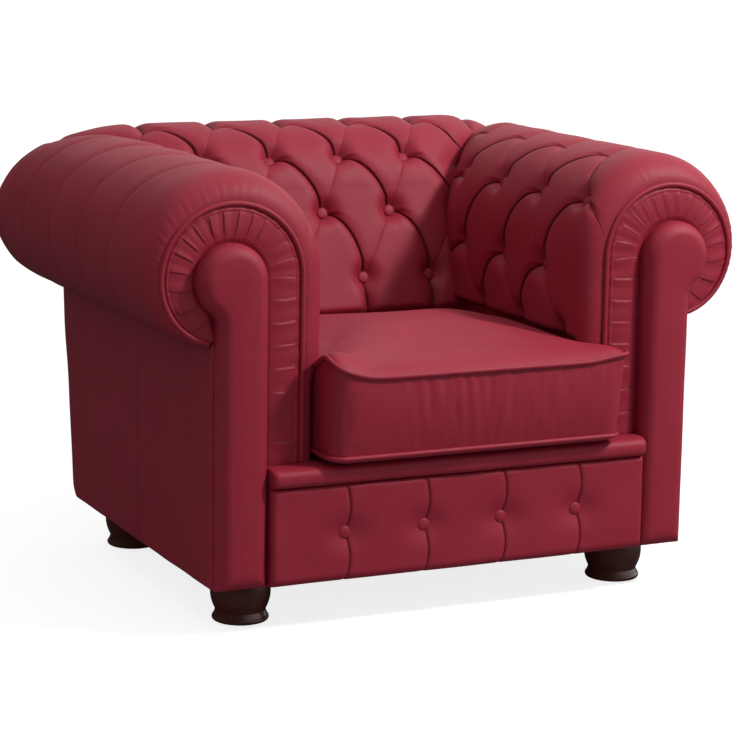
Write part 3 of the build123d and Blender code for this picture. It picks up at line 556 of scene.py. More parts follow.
def covered_buttons(name, places, node):
    """Domed buttons, each covered in the same leather: where each sits and the way it faces."""
    ring = np.linspace(0, 2 * np.pi, 33)[:-1]
    profile = [(0.0094, -0.003), (0.0109, 0.0004), (0.0110, 0.0018), (0.0102, 0.0032), (0.0082, 0.0042),
               (0.0054, 0.0048), (0.0026, 0.0051), (0.00001, 0.0052)]
    vertices, faces = [], []
    for centre, facing in places:
        turn = Vector(facing).to_track_quat("Z", "Y").to_matrix()
        first = len(vertices)
        for radius, height in profile:
            for angle in ring:
                spot = turn @ Vector((radius * math.cos(angle), radius * math.sin(angle), height))
                vertices.append(spot + Vector(centre))
        count = len(ring)
        for level in range(len(profile) - 1):
            for k in range(count):
                a = first + level * count + k
                b = first + level * count + (k + 1) % count
                faces.append((a, b, b + count, a + count))
        faces.append(tuple(first + k for k in reversed(range(count))))
    mesh = bpy.data.meshes.new(name)
    mesh.from_pydata(vertices, [], faces)
    mesh.shade_smooth()
    return made_object(name, mesh, "chair", node, red_leather)


even_back, odd_back = (-2, 0, 2), (-3, -1, 1, 3)
back_spots = back_tufting.buttons(((), odd_back, even_back, odd_back))
back_spots = [((x, *seat), (0.0, *facing)) for x, seat, facing in back_spots]
covered_buttons("back_covered_buttons", back_spots, "back_buttons")

# Tufted arms: the same leather and fibre over each arm, from the seat up, over the roll and under it.
# At the front the leather is drawn in over a rounded edge and gathered into the welt of the facing.
arm_roll_x = 0.396
arm_section = RolledSection(arm_roll_x, roll_z, roll_radius, 0.0, arm_roll_x + tuck_out,
                            roll_z - tuck_drop, tuft_bottom)
arm_pitch = 0.150
arm_start = -0.305
arm_front = -0.398
front_round = ([0.0, 1.0, 1.5, 3.0], [0.020, 0.026, 0.070, 0.080])
arm_rows = [arm_section.from_angle(107.0), arm_section.from_angle(148.5),
            arm_section.straight * 0.691, arm_section.straight * 0.074]
arm_depths = ([0.0, 0.015, arm_rows[1], arm_rows[0], arm_rows[0] + 0.08, arm_section.length],
              [arm_strip - (arm_roll_x - roll_radius), 0.020, 0.020, 0.010, 0.0045, 0.002])
welt_circle = 0.121
facing_x = arm_roll_x + 0.006
facing_z = roll_z - 0.016
facing_tuck = 0.103
welt_radius = 0.004
gather_room = 0.0035
front_lip = RolledSection(facing_x, facing_z, welt_circle + gather_room, 0.0, arm_roll_x + tuck_out,
                          facing_z - facing_tuck - gather_room, tuft_bottom)
front_fold_share = 0.36
arm_tufting = Tufting(arm_section, arm_strip, arm_rows, np.arange(-1, 10), start=arm_start - arm_pitch / 2,
                      half=arm_pitch / 2, lean=-0.042, slant=0.058, crown=0.0, depths=arm_depths)


def arm_limits(out, v):
    """Where an arm's cover ends, at its front and at the mitre."""
    return arm_front, back_strip + 0.012 if v < 0 else out - mitre_shift


def arm_front_fold(edges, step, low, node):
    """The foremost pleat: from the front button of the second row round to the welt."""
    share = unit((step - 1) / front_fold_share)
    first = node + (low - node) * (1 - (1 - share) ** pleat_bow) ** (1 / pleat_bow)
    return np.concatenate([[low, edges[2] if step < 1 else first], edges[2:]])


def arm_flush(y):
    """Near the front the tufting meets the plain band below it without a hollow."""
    flush_from, flush_reach = -0.33, 0.04
    return unit((flush_from - y) / flush_reach) ** 2


(arm_y, arm_out, arm_up, arm_fold_shade), arm_shares = arm_tufting.cover(arm_limits, arm_front_fold, arm_flush)
reach = np.interp(arm_shares, *front_round)[:, None]
hold = 1 - np.sqrt(1 - (1 - unit((arm_y - arm_front) / reach)) ** 2)
lip_out, lip_up = front_lip.at(arm_shares[:, None], 0.0)
lip_up = np.where(arm_up < tuft_bottom, arm_up, lip_up)
arm_out = arm_out + (lip_out - arm_out) * hold
arm_up = arm_up + (lip_up - arm_up) * hold
gather_height = 0.0011
gather_reach = 0.014
gather_from = 1.3
round_head = np.clip(arm_shares - gather_from, 0, 0.2)[:, None]
gather = np.exp(-(((arm_y - arm_front) / gather_reach) ** 2)) * round_head * 5
wave = np.sin(arm_shares[:, None] * 205) * np.sin(arm_shares[:, None] * 41 + 1)
swing = arm_section.over * (1 - unit(arm_shares - 1))[:, None]
arm_out = arm_out + gather_height * wave * gather * np.cos(swing)
arm_up = arm_up + gather_height * wave * gather * np.sin(swing)
arm_spots = arm_tufting.buttons(((), (1, 3, 5, 7), (2, 4, 6), ()))
sides = (("right_", 1), ("left_", -1))
for side, sign in sides:
    arm_points = np.stack([sign * arm_out, arm_y, arm_up], -1)[:, ::-sign]
    arm_leather = leather_piece(side + "arm_leather", arm_points, side + "arm_cover", arm_fold_shade[:, ::-sign])
    places = [((sign * p[0], s, p[1]), (sign * f[0], 0.0, f[1])) for s, p, f in arm_spots]
    covered_buttons(side + "arm_covered_buttons", places, side + "arm_buttons")

# Outside panels: plain leather pulled over the sides and the back and tacked under the rolls.
# Each side has one upright seam, and its edges are turned in over the frame.
panel_x = arm_roll_x + tuck_out
panel_low = 0.078
panel_high = roll_z - tuck_drop
panel_thickness = 0.004
panel_slope = 0.1418
panel_front = -0.402
panel_corner = 0.028
panel_edge = 0.0045
seam_back = 0.335
seam_clear = 0.006
seam_depth = 0.0016
seam_width = 0.0016
panel_fullness = 0.0022
rear_fullness = 0.003
panel_ripple = 0.0008


def turned_in(distance, radius):
    """How far a face has fallen back near its edge, for a rounded edge of some radius."""
    part = unit(distance / radius)
    return radius * (1 - np.sqrt(1 - (1 - part) ** 2))


def even_spread(low, high, count, edge):
    """Values from low to high with close ones near both ends, for rounded edges."""
    tight = edge * (1 - np.cos(np.linspace(0, np.pi / 2, 7)))
    middle = np.linspace(low + edge, high - edge, count)
    return np.concatenate([low + tight[:-1], middle, (high - tight[:-1])[::-1]])


def back_line(z):
    """The outer face of the outside back at a height."""
    return back_roll_y + tuck_out + panel_slope * (z - panel_high)


panel_z = even_spread(panel_low, panel_high, 44, panel_edge)
rear = back_line(panel_z)
below = np.clip(panel_corner - (panel_z - panel_low), 0, panel_corner)
rear = rear - (panel_corner - np.sqrt(panel_corner**2 - below**2))
seam_y = panel_front + seam_back
seam_steps = 0.004 * np.linspace(-1, 1, 9)
front_half = even_spread(panel_front, seam_y, 30, panel_edge)[:-7]
rear_share = np.linspace(0, 1, 50)
panel_rows = []
for z, end in zip(panel_z, rear):
    rest = seam_y + seam_clear + (end - panel_edge - seam_y - seam_clear) * rear_share
    tail = end - panel_edge + panel_edge * np.sin(np.linspace(0, np.pi / 2, 7))[1:]
    panel_rows.append(np.concatenate([front_half, seam_y + seam_steps, rest, tail]))
panel_y = np.array(panel_rows)
near_front = 1 - unit((panel_y - arm_front) / front_round[1][-1])
drawn_up = (facing_z - facing_tuck - panel_high) * (1 - np.sqrt(1 - near_front**2))
panel_zz = panel_z[:, None] + drawn_up * ((panel_z - panel_low) / (panel_high - panel_low))[:, None]
to_edge = np.minimum(np.minimum(panel_y - panel_front, rear[:, None] - panel_y), panel_zz - panel_low)
sunk = turned_in(to_edge, panel_edge)
stitched = seam_depth * np.exp(-((panel_y - seam_y) / seam_width) ** 2)
fullness = panel_fullness * swell(to_edge, 0.12, 1.0) + panel_ripple * ripple(panel_y, panel_zz, 9)
for side, sign in sides:
    skin = np.stack([sign * (panel_x + fullness - sunk - stitched), panel_y, panel_zz], -1)[:, ::sign]
    # Painted shade along the seam's groove, from how deep it is stitched in.
    leather_piece(side + "side_leather", skin, side + "outside_arm_panel", stitched[:, ::sign] / 0.003)
rear_x = even_spread(-panel_x + panel_thickness, panel_x - panel_thickness, 60, panel_edge)
rear_z = even_spread(panel_low + 0.006, panel_high, 44, panel_edge)
rear_xx, rear_zz = np.meshgrid(rear_x, rear_z)
to_edge = np.minimum(np.minimum(rear_xx - rear_x[0], rear_x[-1] - rear_xx), rear_zz - rear_z[0])
rear_y = back_line(rear_zz) - turned_in(to_edge, panel_edge) + rear_fullness * swell(to_edge, 0.15, 1.0)
rear_y = rear_y + panel_ripple * ripple(rear_xx, rear_zz, 12)
rear_skin = np.stack([rear_xx, rear_y, rear_zz], -1)
leather_piece("outside_back_leather", rear_skin[:, ::-1], "outside_back_panel")

# Front border: padded leather under the seat, sewn into four upright pleats with a button on each.
# It is stapled to the front rail, and a padded edge roll is fixed along its top.
border_half = 0.3472
border_low = 0.080
border_high = 0.2437
border_back = -0.403
border_proud = 0.035
border_round = 0.016
border_top_round = 0.007
border_end_round = 0.010
pleat_pitch = 0.144
pleat_swing = 0.0065
pleat_depth = 0.0042
pleat_lip = 0.012
pleat_step = 0.006
dimple_depth = 0.0085
dimple_half_width = 0.034
dimple_half_height = 0.026
padding_ripple = 0.0012
pleat_centres = pleat_pitch * np.array([-1.5, -0.5, 0.5, 1.5])
button_height = (border_low + border_high) / 2
border_z = even_spread(border_low, border_high, 60, border_round)
columns_each = 30
rows_x, rows_depth, rows_fold = [], [], []
for z in border_z:
    half_turn = (z - button_height) / (border_high - button_height)
    bow = pleat_swing * (abs(math.sin(math.pi * half_turn)) + 0.35)
    edges = np.concatenate([[-border_half], pleat_centres + bow, [border_half]])
    x, near, far = between_folds(edges, columns_each)
    near = np.where(x < edges[1], 1.0, near)
    far = np.where(x >= edges[-2], 1.0, far)
    crease = 1 - swell(far, pleat_lip, 0.5) + 1 - (0.3 + 0.7 * swell(near, pleat_step, 0.4))
    depth = pleat_depth * crease
    for centre in pleat_centres:
        away = ((x - centre) / dimple_half_width) ** 2 + ((z - button_height) / dimple_half_height) ** 2
        depth = depth + dimple_depth * np.exp(-away)
    rows_x.append(x)
    rows_depth.append(depth)
    rows_fold.append(crease)
border_x, dent, crease = np.array(rows_x), np.array(rows_depth), np.array(rows_fold)
border_zz = np.broadcast_to(border_z[:, None], border_x.shape)
to_end = border_half - np.abs(border_x)
body = border_proud - turned_in(border_zz - border_low, border_round) - turned_in(to_end, border_end_round)
body = body - turned_in(border_high - border_zz, border_top_round)
body = np.maximum(body - dent + padding_ripple * ripple(border_x, border_zz, 21), 0.0)
border_skin = np.stack([border_x, border_back - body, border_zz], -1)
border_skin = np.pad(border_skin, ((1, 1), (1, 1), (0, 0)), "edge")
border_skin[[0, -1], :, 1] = border_back
border_skin[:, [0, -1], 1] = border_back
crease = np.pad(crease, 1)
# Painted shade in the pleats, darkest in their creases.
border = leather_piece("front_border_leather", border_skin, "front_panel", crease**2 * 0.6)
button_y = border_back - border_proud + 0.0105
front_spots = [((x, button_y, button_height), (0.0, -1.0, 0.0)) for x in pleat_centres]
covered_buttons("front_covered_buttons", front_spots, "front_panel_buttons")

# Edge roll: a padded leather roll along the front of the seat, which keeps the cushion in place.
# It is a strip of foam in a leather tube, sewn closed and stapled to the top of the front rail.
lip_low = 0.244
lip_high = 0.278
lip_front = -0.447
lip_rear = -0.378
lip_round_length = 0.009
lip_taper = 0.55
nose_fullness = 0.55
rise_fullness = 0.72
ring = np.linspace(0, 2 * np.pi, 49)[:-1]
lip_x = even_spread(-border_half, border_half, 90, lip_round_length)
lip_rows = []
for x in lip_x:
    end = 1 - turned_in(border_half - abs(x), lip_round_length) / lip_round_length * lip_taper
    nose = 0.5 + 0.5 * np.sign(np.cos(ring)) * np.abs(np.cos(ring)) ** nose_fullness
    y = lip_rear + (lip_front - lip_rear) * nose * (0.75 + 0.25 * end)
    rise = np.sign(np.sin(ring)) * np.abs(np.sin(ring)) ** rise_fullness
    z = (lip_low + lip_high) / 2 + (lip_high - lip_low) / 2 * rise * (0.8 + 0.2 * end)
    y = y - padding_ripple * ripple(x, z, 31)
    lip_rows.append(np.stack([np.full_like(y, x), y, z], -1))
closing = [np.tile(lip_rows[k].mean(0), (len(ring), 1)) for k in (0, -1)]
lip_rows = [closing[0], *lip_rows, closing[1]]
edge_roll = leather_piece("edge_roll_leather", np.array(lip_rows), "front_lip", closed=True)

# Arm facings: leather gathered in pleats round the scroll of the arm, a keyhole pad in its middle.
# The pad is a foam-covered board pinned over the raw edges, and a piped welt closes the outer edge.
facing_y = -0.400
pad_inner = 0.3475
pad_outer = 0.4355
pad_head = 0.061
pad_head_x = pad_inner + pad_head
pad_head_z = roll_z - 0.018
lip_line = lip_high + 0.0006
tucked_under = 0.016
pleat_height = 0.0021
rib_height = 0.0030
border_bulge = 0.006
pleat_slant = 0.10
pleat_waver = 0.05
crease_height = 0.0008
drop_to_pad = 0.004
under_turn = 1.9
neck_drop = 0.06
straight_count, round_count, under_count = 300, 420, 130
facing = RolledSection(facing_x, facing_z, welt_circle, 0.0, panel_x, facing_z - facing_tuck, tuft_bottom)
straight_z = np.linspace(lip_line, facing_z, straight_count)[:-1]
turn_shares = np.linspace(1, 2, round_count)[:-1]
under_shares = np.linspace(2, 3, under_count)
round_out, round_up = facing.at(np.concatenate([turn_shares, under_shares]), 0.0)
path_x = np.concatenate([np.full_like(straight_z, facing_x - welt_circle), round_out])
path_z = np.concatenate([straight_z, round_up])

# The inner edge of the border runs along under the edge of the pad.
head_turn = np.concatenate([np.pi * (2 - turn_shares), -under_turn * (under_shares - 2)])
neck_angle = -math.acos((pad_outer - pad_head_x) / pad_head)
hub_turn = np.maximum(head_turn, neck_angle)
past_neck = unit((neck_angle - head_turn) * neck_drop)
hub_ring = pad_head - tucked_under
hub_round = pad_head_x + hub_ring * np.cos(hub_turn)
hub_x = np.concatenate([np.full_like(straight_z, pad_inner + tucked_under), hub_round])
hub_z = np.concatenate([straight_z, pad_head_z + hub_ring * np.sin(hub_turn) - past_neck])

# The pleats lie closer together round the head, and each rises to a crest and steps back from it.
length = np.concatenate([[0], np.cumsum(np.hypot(np.diff(path_x), np.diff(path_z)))])
pleat_widths = ([0.0, 0.27, 0.38, 0.60, 0.72, length[-1]], [0.040, 0.038, 0.029, 0.029, 0.040, 0.042])
spacing = np.interp(length, *pleat_widths)
count_along = np.concatenate([[0], np.cumsum(np.diff(length) / spacing[1:])])
phase = count_along % 1.0
number = np.floor(count_along)
lift = np.random.default_rng(3).uniform(0.7, 1.3, 60)[number.astype(int)]
slant = pleat_slant * np.sin(number * 2.4)
w = np.linspace(0, 1, 44)[None, :] ** 1.3
waver = pleat_waver * np.sin(w * 5 + number[:, None])
lean = (phase[:, None] + slant[:, None] * (w - 0.5) + waver) % 1.0
step_back = unit((lean - 0.92) / 0.08)
shown = swell(w - 0.12, 0.08, 1.0) * (1 - swell(w - 0.5, 0.24, 1.0))
rise = pleat_height * lift[:, None] * lean**2.2 * (1 - step_back) * shown
edge_rib = rib_height * np.exp(-(((w - 0.1) / 0.022) ** 2))
fall = crease_height * np.sin(lean * 9 + number[:, None]) * (1 - w) + edge_rib
bulge = border_bulge * np.sin(np.pi * w) ** 0.7
drop = drop_to_pad * swell(w - 0.7, 0.2, 1.0)
pleat_x = path_x[:, None] + (hub_x - path_x)[:, None] * (0.02 + 0.98 * w)
pleat_y = facing_y + 0.003 - bulge - rise - fall * 0.5 + drop
pleat_z = path_z[:, None] + (hub_z - path_z)[:, None] * (0.02 + 0.98 * w)

# The pad's outline, from its inner foot round the head to the outer neck and down.
neck_radius = 0.026
neck_x = pad_outer + neck_radius
neck_z = pad_head_z - math.sqrt((pad_head + neck_radius) ** 2 - (neck_x - pad_head_x) ** 2)
meet = math.atan2(neck_z - pad_head_z, neck_x - pad_head_x)
head_angles = np.linspace(np.pi, meet, 90)[1:]
neck_angles = np.linspace(math.pi + meet, math.pi, 24)[1:]
outline_x = np.concatenate([[pad_inner, pad_inner], pad_head_x + pad_head * np.cos(head_angles),
                            neck_x + neck_radius * np.cos(neck_angles), [pad_outer]])
outline_z = np.concatenate([[panel_low, pad_head_z], pad_head_z + pad_head * np.sin(head_angles),
                            neck_z + neck_radius * np.sin(neck_angles), [panel_low]])


def filled_in(corners):
    """Values along an outline, with even steps put in between its corners."""
    shares = np.linspace(0, 1, 17)[:-1]
    return np.concatenate([a + (b - a) * shares for a, b in zip(corners, corners[1:])])


def side_reach(z):
    """The pad's inner and outer edge at a height."""
    half = np.sqrt(np.maximum(pad_head**2 - (z - pad_head_z) ** 2, 0))
    in_neck = neck_x - np.sqrt(np.maximum(neck_radius**2 - (z - neck_z) ** 2, 0))
    touch = neck_z + neck_radius * math.sin(math.pi + meet)
    inside = np.where(z > pad_head_z, pad_head_x - half, pad_inner)
    outside = np.where(z > touch, pad_head_x + half, np.where(z > neck_z, in_neck, pad_outer))
    return inside, outside


pad_back = -0.384
pad_front = -0.430
pad_round = 0.022
pad_crown = 0.004
pad_crown_reach = 0.045
pad_ripple = 0.0006
low_rows = even_spread(panel_low, pad_head_z, 110, pad_round)[:-6]
top_rows = pad_head_z + pad_head * np.sin(np.linspace(0, np.pi / 2, 46))[1:]
pad_z = np.concatenate([low_rows, top_rows])
inside, outside = side_reach(pad_z)
u = (1 - np.cos(np.linspace(0, np.pi, 61))) / 2
pad_x = inside[:, None] + (outside - inside)[:, None] * u
pad_zz = np.broadcast_to(pad_z[:, None], pad_x.shape)
inner_z = np.linspace(panel_low, pad_head_z, 200)
outer_z = np.linspace(panel_low, neck_z, 160)
foot_x = np.linspace(pad_inner, pad_outer, 60)
edge_x = np.concatenate([filled_in(outline_x), np.full(200, pad_inner), np.full(160, pad_outer), foot_x])
edge_z = np.concatenate([filled_in(outline_z), inner_z, outer_z, np.full(60, panel_low)])
gap = np.sqrt(((pad_x[..., None] - edge_x) ** 2 + (pad_zz[..., None] - edge_z) ** 2).min(-1))
gap[:, [0, -1]] = 0
gap[[0, -1]] = 0
pad_y = pad_front + turned_in(gap, pad_round)
pad_y = pad_y - pad_crown * swell(gap, pad_crown_reach, 1.0) + pad_ripple * ripple(pad_x, pad_zz, 44)
pad_points = np.pad(np.stack([pad_x, pad_y, pad_zz], -1), ((1, 0), (1, 1), (0, 0)), "edge")
pad_points[0, :, 1] = pad_back
pad_points[:, [0, -1], 1] = pad_back


def tube(path, radius, sides=14, up=(0.0, 1.0, 0.0)):
    """Points of a round cord along a path that runs square to one direction."""
    path = np.asarray(path)
    ahead = np.gradient(path, axis=0)
    ahead = ahead / np.linalg.norm(ahead, axis=1)[:, None]
    side = np.cross(ahead, np.array(up))
    side = side / np.linalg.norm(side, axis=1)[:, None]
    lift = np.cross(side, ahead)
    angle = np.linspace(0, 2 * np.pi, sides + 1)[:-1, None]
    return path[:, None] + radius * (side[:, None] * np.cos(angle) + lift[:, None] * np.sin(angle))


for side, sign in sides:
    skin = np.stack([sign * pleat_x, pleat_y, pleat_z], -1)[:, ::-sign]
    # Painted shade where each pleat steps back from its crest.
    dark = step_back[:, ::-sign] * 0.5
    gathered = leather_piece(side + "gathered_border", skin, side + "pleated_border", dark)
    skin = (pad_points * (sign, 1, 1))[:, ::sign]
    keyhole = leather_piece(side + "keyhole_pad", skin, side + "facing_pad")
    cord = np.stack([sign * path_x, np.full_like(path_x, facing_y + 0.001), path_z], -1)[::4]
    skin = tube(cord, welt_radius + 0.0004)[:, ::sign]
    leather_piece(side + "piped_welt", skin, side + "facing_welt", closed=True)

# Seat cushion: a loose box cushion, a leather cover round a foam core, free to pull out forwards.
# Top, boxing and bottom are sewn together with a piped welt along each edge.
core = softened_copy("cushion_core", "cushion", foam, 8)
seat_half = 0.2645
seat_lobe = 0.281
seat_front = -0.462
seat_rear = 0.093
seat_lean = 0.010
lobe_rear = -0.407
seat_low = 0.2815
bottom_welt_z = 0.292
top_welt_z = 0.424
seat_crown = 0.027
left_ear = (-0.254, -0.436, 0.032)
right_ear = (seat_lobe, -0.462, 0.009)
ear_reach = 0.045
flare = 0.009
sag_depth = 0.021
sag_tilt = 0.024
sag_from = -0.16
sag_length = 0.25
waist_depth = 0.011
waist_from = -0.32
lean_from = -0.3
lobe_from = -0.41
core_lobe = 0.2735
core_lobe_rear = -0.412
side_limit = 0.297
rear_limit = 0.0935
deck_limit = 0.2812


def settled(points):
    """Heights of the cushion's upper part after its rear has settled, more at the right."""
    sag = sag_depth + sag_tilt * points[:, 0]
    raised = np.clip((points[:, 2] - bottom_welt_z) / (top_welt_z - bottom_welt_z), 0, 1.3)
    return points[:, 2] - sag * raised * unit((points[:, 1] - sag_from) / sag_length) ** 1.6


def waist(y):
    """How far the sides of the cushion are drawn in between the arm fronts."""
    return waist_depth * unit((waist_from - y) / 0.05) ** 1.5


# The core keeps inside its cover, also where the cover is drawn in.
core_points = np.array([v.co for v in core.data.vertices])
core_half = seat_half - 0.007 - waist(core_points[:, 1])
core_right = np.where(core_points[:, 1] < core_lobe_rear, core_lobe, core_half)
core_points[:, 0] = np.clip(core_points[:, 0], -core_half, core_right)
core_points[:, 2] = settled(core_points) - 0.004 * (core_points[:, 2] > top_welt_z)
core.data.vertices.foreach_set("co", core_points.astype(np.float32).ravel())


def rounded_outline(corners, radii, spacing):
    """A closed path through corners rounded to radii, with points at an even spacing."""
    points = []
    count = len(corners)
    for k in range(count):
        here, before, after = (np.array(corners[i % count]) for i in (k, k - 1, k + 1))
        back, ahead = before - here, after - here
        back, ahead = back / np.linalg.norm(back), ahead / np.linalg.norm(ahead)
        opening = math.acos(float(np.clip(back @ ahead, -1, 1)))
        reach = radii[k] / math.tan(opening / 2)
        middle = here + (back + ahead) / np.linalg.norm(back + ahead) * radii[k] / math.sin(opening / 2)
        first, last = here + back * reach - middle, here + ahead * reach - middle
        start = math.atan2(first[1], first[0])
        sweep = (math.atan2(last[1], last[0]) - start + math.pi) % (2 * math.pi) - math.pi
        turn = start + sweep * np.linspace(0, 1, 16)
        points.append(middle + radii[k] * np.stack([np.cos(turn), np.sin(turn)], -1))
    path = np.concatenate(points + [points[0][:1]])
    run = np.concatenate([[0], np.cumsum(np.linalg.norm(np.diff(path, axis=0), axis=1))])
    even = np.linspace(0, run[-1], int(run[-1] / spacing) + 1)[:-1]
    return np.stack([np.interp(even, run, path[:, 0]), np.interp(even, run, path[:, 1])], -1)


seat_corners = [(seat_half, seat_rear), (-seat_half, seat_rear), (-seat_half, seat_front),
                (seat_lobe, seat_front), (seat_lobe, lobe_rear), (seat_half, lobe_rear)]
seat_radii = [0.03, 0.03, 0.030, 0.020, 0.006, 0.006]
seat_path = rounded_outline(seat_corners, seat_radii, 0.004)
seat_middle = np.array([0.0, (seat_front + seat_rear) / 2])
levels = [(seat_low, d) for d in (0.999, 0.6, 0.3, 0.12, 0.05)] + [(seat_low + 0.0015, 0.018)]
levels += [(z, 0.0) for z in np.linspace(bottom_welt_z, top_welt_z, 28)]
levels += [(top_welt_z + seat_crown * (1 - (1 - d) ** 9), d) for d in np.linspace(0.01, 0.999, 40)]


def corner_ears(path):
    """How far the front corners of the cushion stand up, where piping and filling meet."""
    total = np.zeros(len(path))
    for x, y, height in (left_ear, right_ear):
        apart = np.hypot(path[:, 0] - x, path[:, 1] - y)
        total += height * np.exp(-((apart / ear_reach) ** 2))
    return total


def leaning(path, raised):
    """A level of the cushion's outline, drawn forwards and out at the front as it goes up."""
    moved = path.copy()
    moved[:, 1] -= seat_lean * raised * unit((lean_from - path[:, 1]) / 0.1)
    ahead = unit((lobe_from - path[:, 1]) / 0.02)
    moved[:, 0] += flare * raised * unit((path[:, 0] - 0.2) / 0.08) * ahead
    beside = np.where(path[:, 0] < 0, 1.0, unit((path[:, 1] - lobe_from) / 0.008))
    share = path[:, 0] / seat_half
    moved[:, 0] -= waist(path[:, 1]) * share * np.abs(share) * beside
    return moved


rings = []
for z, drawn in levels:
    ring_path = seat_middle + (seat_path - seat_middle) * (1 - drawn)
    raised = unit((z - bottom_welt_z) / (top_welt_z - bottom_welt_z))
    ring_path = leaning(ring_path, raised)
    ring = np.stack([ring_path[:, 0], ring_path[:, 1], np.full(len(ring_path), z)], -1)
    ring[:, 2] = settled(ring) + corner_ears(ring_path) * raised**2
    rings.append(ring)
seat_skin = np.array(rings)[:, ::-1]
seat = leather_piece("seat_leather", seat_skin, "cushion_cover", body="cushion", closed=True)


def applied(piece):
    """Bakes a piece's modifiers into its mesh."""
    depsgraph = bpy.context.evaluated_depsgraph_get()
    baked = bpy.data.meshes.new_from_object(piece.evaluated_get(depsgraph))
    piece.modifiers.clear()
    piece.data = baked


def corner_points(piece):
    """Where the corners of a piece's mesh are."""
    found = np.empty(len(piece.data.vertices) * 3, np.float32)
    piece.data.vertices.foreach_get("co", found)
    return found.reshape(-1, 3).astype(float)


# The cover is blown up a little as cloth that is held along its two welts and under its bottom.
skin = seat.modifiers.new("skin", "REMESH")
skin.mode = "VOXEL"
skin.voxel_size = 0.006
applied(seat)
start = corner_points(seat)
smooth_start = seat.data
swell_cap = 0.022
sewn = seat.vertex_groups.new(name="sewn")
welt_line = np.stack([start[:, 0], start[:, 1], np.full(len(start), top_welt_z)], -1)
at_top = settled(welt_line) + corner_ears(start)
at_welt = np.minimum(np.abs(start[:, 2] - at_top), np.abs(start[:, 2] - bottom_welt_z)) < 0.005
at_edge = np.zeros(len(start), bool)
for chunk in np.array_split(np.arange(len(start)), 24):
    apart = ((start[chunk, None, :2] - seat_path[None]) ** 2).sum(-1).min(1)
    at_edge[chunk] = apart < (0.006 + seat_lean) ** 2
sewn.add(np.flatnonzero(at_welt & at_edge).tolist(), 1.0, "REPLACE")
sewn.add(np.flatnonzero(start[:, 2] < seat_low + 0.003).tolist(), 1.0, "REPLACE")
cloth_skin = seat.modifiers.new("cloth", "CLOTH")
settings = cloth_skin.settings
settings.quality = 6
settings.mass = 0.4
settings.use_pressure = True
settings.uniform_pressure_force = 4.0
settings.shrink_min = -0.004
settings.vertex_group_mass = "sewn"
settings.effector_weights.gravity = 0.0
for frame_number in range(1, 21):
    bpy.context.scene.frame_set(frame_number)
applied(seat)
bpy.context.scene.frame_set(1)

# It only swells, by a limited amount, and stays between the arms, the back and the deck.
end = corner_points(seat)
moved = end - start
moved *= np.minimum(1, swell_cap / np.maximum(np.linalg.norm(moved, axis=1), 1e-9))[:, None]
outward = np.empty(len(start) * 3, np.float32)
smooth_start.vertices.foreach_get("normal", outward)
outward = outward.reshape(-1, 3)
sunk = np.minimum((moved * outward).sum(1), 0)
end = start + moved - sunk[:, None] * outward
ahead = unit((lobe_rear + 0.006 - end[:, 1]) / 0.018)
half_width = seat_half + 0.001 - waist(end[:, 1])
end[:, 0] = np.clip(end[:, 0], -half_width - 0.003 * ahead, half_width + (side_limit - half_width) * ahead)
end[:, 1] = np.minimum(end[:, 1], rear_limit)
end[:, 2] = np.maximum(end[:, 2], deck_limit)

# Small folds hang from the front welt: the place, depth, width and length of each.
drawn_folds = [(-0.123, 0.0016, 0.008, 0.05), (-0.094, 0.0028, 0.007, 0.045), (-0.067, 0.0018, 0.008, 0.06),
               (-0.027, 0.0022, 0.009, 0.10), (-0.004, 0.0024, 0.009, 0.11), (0.020, 0.0018, 0.009, 0.10),
               (0.063, 0.0018, 0.010, 0.11), (0.156, 0.0012, 0.010, 0.09), (0.240, 0.0016, 0.007, 0.05)]
hang = top_welt_z - end[:, 2]
boxing_front = -0.42
at_front = unit((boxing_front - end[:, 1]) / 0.02) * unit(hang / 0.008)
for place, strength, width, reach in drawn_folds:
    off = (end[:, 0] - place - 0.1 * hang * (1 if place < 0 else -0.4)) / width
    end[:, 1] += strength * off * np.exp(0.5 - off**2) * at_front * np.exp(-((hang / reach) ** 2))
seat.data.vertices.foreach_set("co", end.astype(np.float32).ravel())
seat.data.shade_smooth()
soften = seat.modifiers.new("soften", "SUBSURF")
soften.levels = soften.render_levels = 1
cord_radius = 0.0042
for name, height, node in (("seat_top_cord", top_welt_z, "cushion_top_welt"),
                           ("seat_bottom_cord", bottom_welt_z, "cushion_bottom_welt")):
    raised = 1.0 if height == top_welt_z else 0.0
    cord_path = leaning(seat_path + 0.0012 * np.sign(seat_path - seat_middle), raised)
    cord = np.stack([cord_path[:, 0], cord_path[:, 1], np.full(len(cord_path), height)], -1)
    cord[:, 2] = settled(cord) + corner_ears(cord_path) * raised
    cord = np.concatenate([cord, cord[:1]])
    skin = tube(cord, cord_radius, up=(0.0, 0.0, 1.0))[:, ::-1]
    leather_piece(name, skin, node, body="cushion", closed=True)

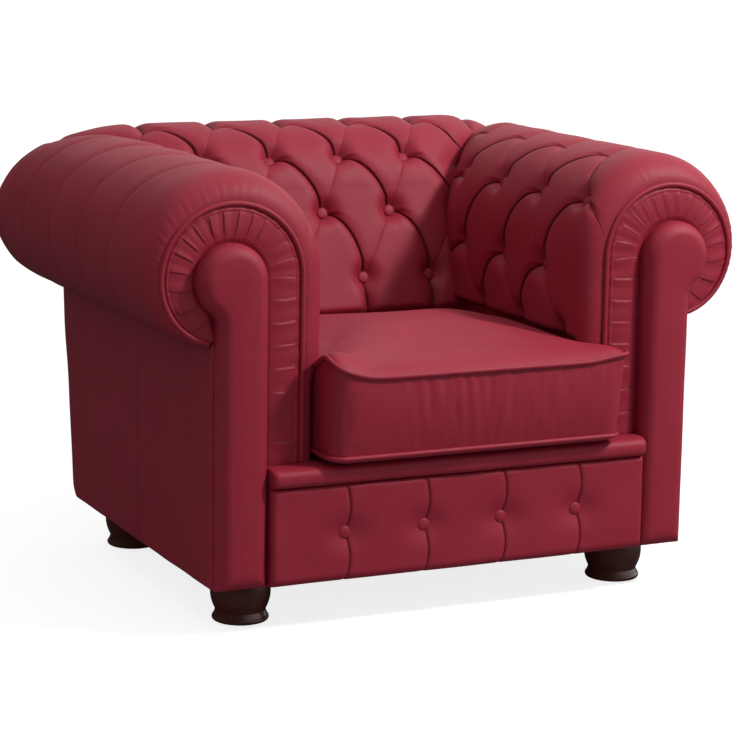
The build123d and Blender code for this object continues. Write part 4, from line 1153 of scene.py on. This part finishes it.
# Studio: a pale floor that runs out into a white backdrop, for a plain picture of the product.
# A lamp high at the right throws the shadows, and a wide lamp overhead and the surroundings fill them.
floor_half = 30.0
corners = [(x * floor_half, y * floor_half, 0) for x, y in ((-1, -1), (1, -1), (1, 1), (-1, 1))]
floor_mesh = bpy.data.meshes.new("floor")
floor_mesh.from_pydata(corners, [], [(0, 1, 2, 3)])
floor = in_scene("floor", floor_mesh)
white, black = (1.0, 1.0, 1.0, 1.0), (0.0, 0.0, 0.0, 1.0)
floor_paint, here = new_material("floor_paint", Roughness=0.9, Emission_Strength=1.0)
mirrored = here.node("LightPath", output="Is Glossy Ray")
mirrored.mix((0.35, 0.35, 0.35, 1.0), (0.02, 0.02, 0.02, 1.0)).feeds("Base Color")
seen = here.node("LightPath", output="Is Camera Ray")
(seen * 0.82).mix(black, white).feeds("Emission Color")
floor_mesh.materials.append(floor_paint)


def area_light(name, place, target, size, power):
    """A square lamp that points at a place."""
    lamp = bpy.data.lights.new(name, "AREA")
    lamp.size = size
    lamp.energy = power
    holder = in_scene(name, lamp)
    holder.location = place
    holder.rotation_euler = (Vector(target) - Vector(place)).to_track_quat("-Z", "Y").to_euler()


area_light("key", (1.9, -1.95, 2.75), (0, 0, 0.4), size=0.4, power=98)
area_light("overhead", (-0.8, -0.5, 3.2), (0, -0.1, 0.4), size=1.8, power=8)
world = bpy.data.worlds.new("studio")
bpy.context.scene.world = world
world.use_nodes = True
sky = Shade(world.node_tree)
seen = sky.node("LightPath", output="Is Camera Ray")
mirrored = sky.node("LightPath", output="Is Glossy Ray")
heading = sky.node("TexCoord", output="Generated")
to_softbox = (0.55, 0.1, 0.83)
softbox = sky.node("VectorMath", {"operation": "DOT_PRODUCT"}, {0: heading, 1: to_softbox}, "Value")
glow = sky.node("Clamp", None, {0: softbox * 2.2 - 0.5})
fill = 0.52
strength = fill + seen * (1 - fill) + mirrored * (glow * 1.3 - fill)
backdrop = world.node_tree.nodes["Background"]
backdrop.inputs["Color"].default_value = white
world.node_tree.links.new(strength.socket, backdrop.inputs["Strength"])

# Camera: at the photograph's angle, fitted to the corners of the base, the rolls and the cushion.
# A long lens with a little shift and roll gives the same drawing of the chair.
camera_data = bpy.data.cameras.new("camera")
camera_data.lens = 124.2
camera_data.sensor_width = 36.0
camera_data.shift_x = 0.0122
camera_data.shift_y = 0.0041
camera = in_scene("camera", camera_data)
eye, aim = Vector((-1.899, -4.087, 1.217)), Vector((0.0, -0.014, 0.3395))
camera_roll = math.radians(0.87)
turn = (aim - eye).to_track_quat("-Z", "Y").to_matrix().to_4x4()
camera.matrix_world = Matrix.Translation(eye) @ turn @ Matrix.Rotation(camera_roll, 4, "Z")
bpy.context.scene.camera = camera
bpy.context.scene.view_settings.view_transform = "Standard"
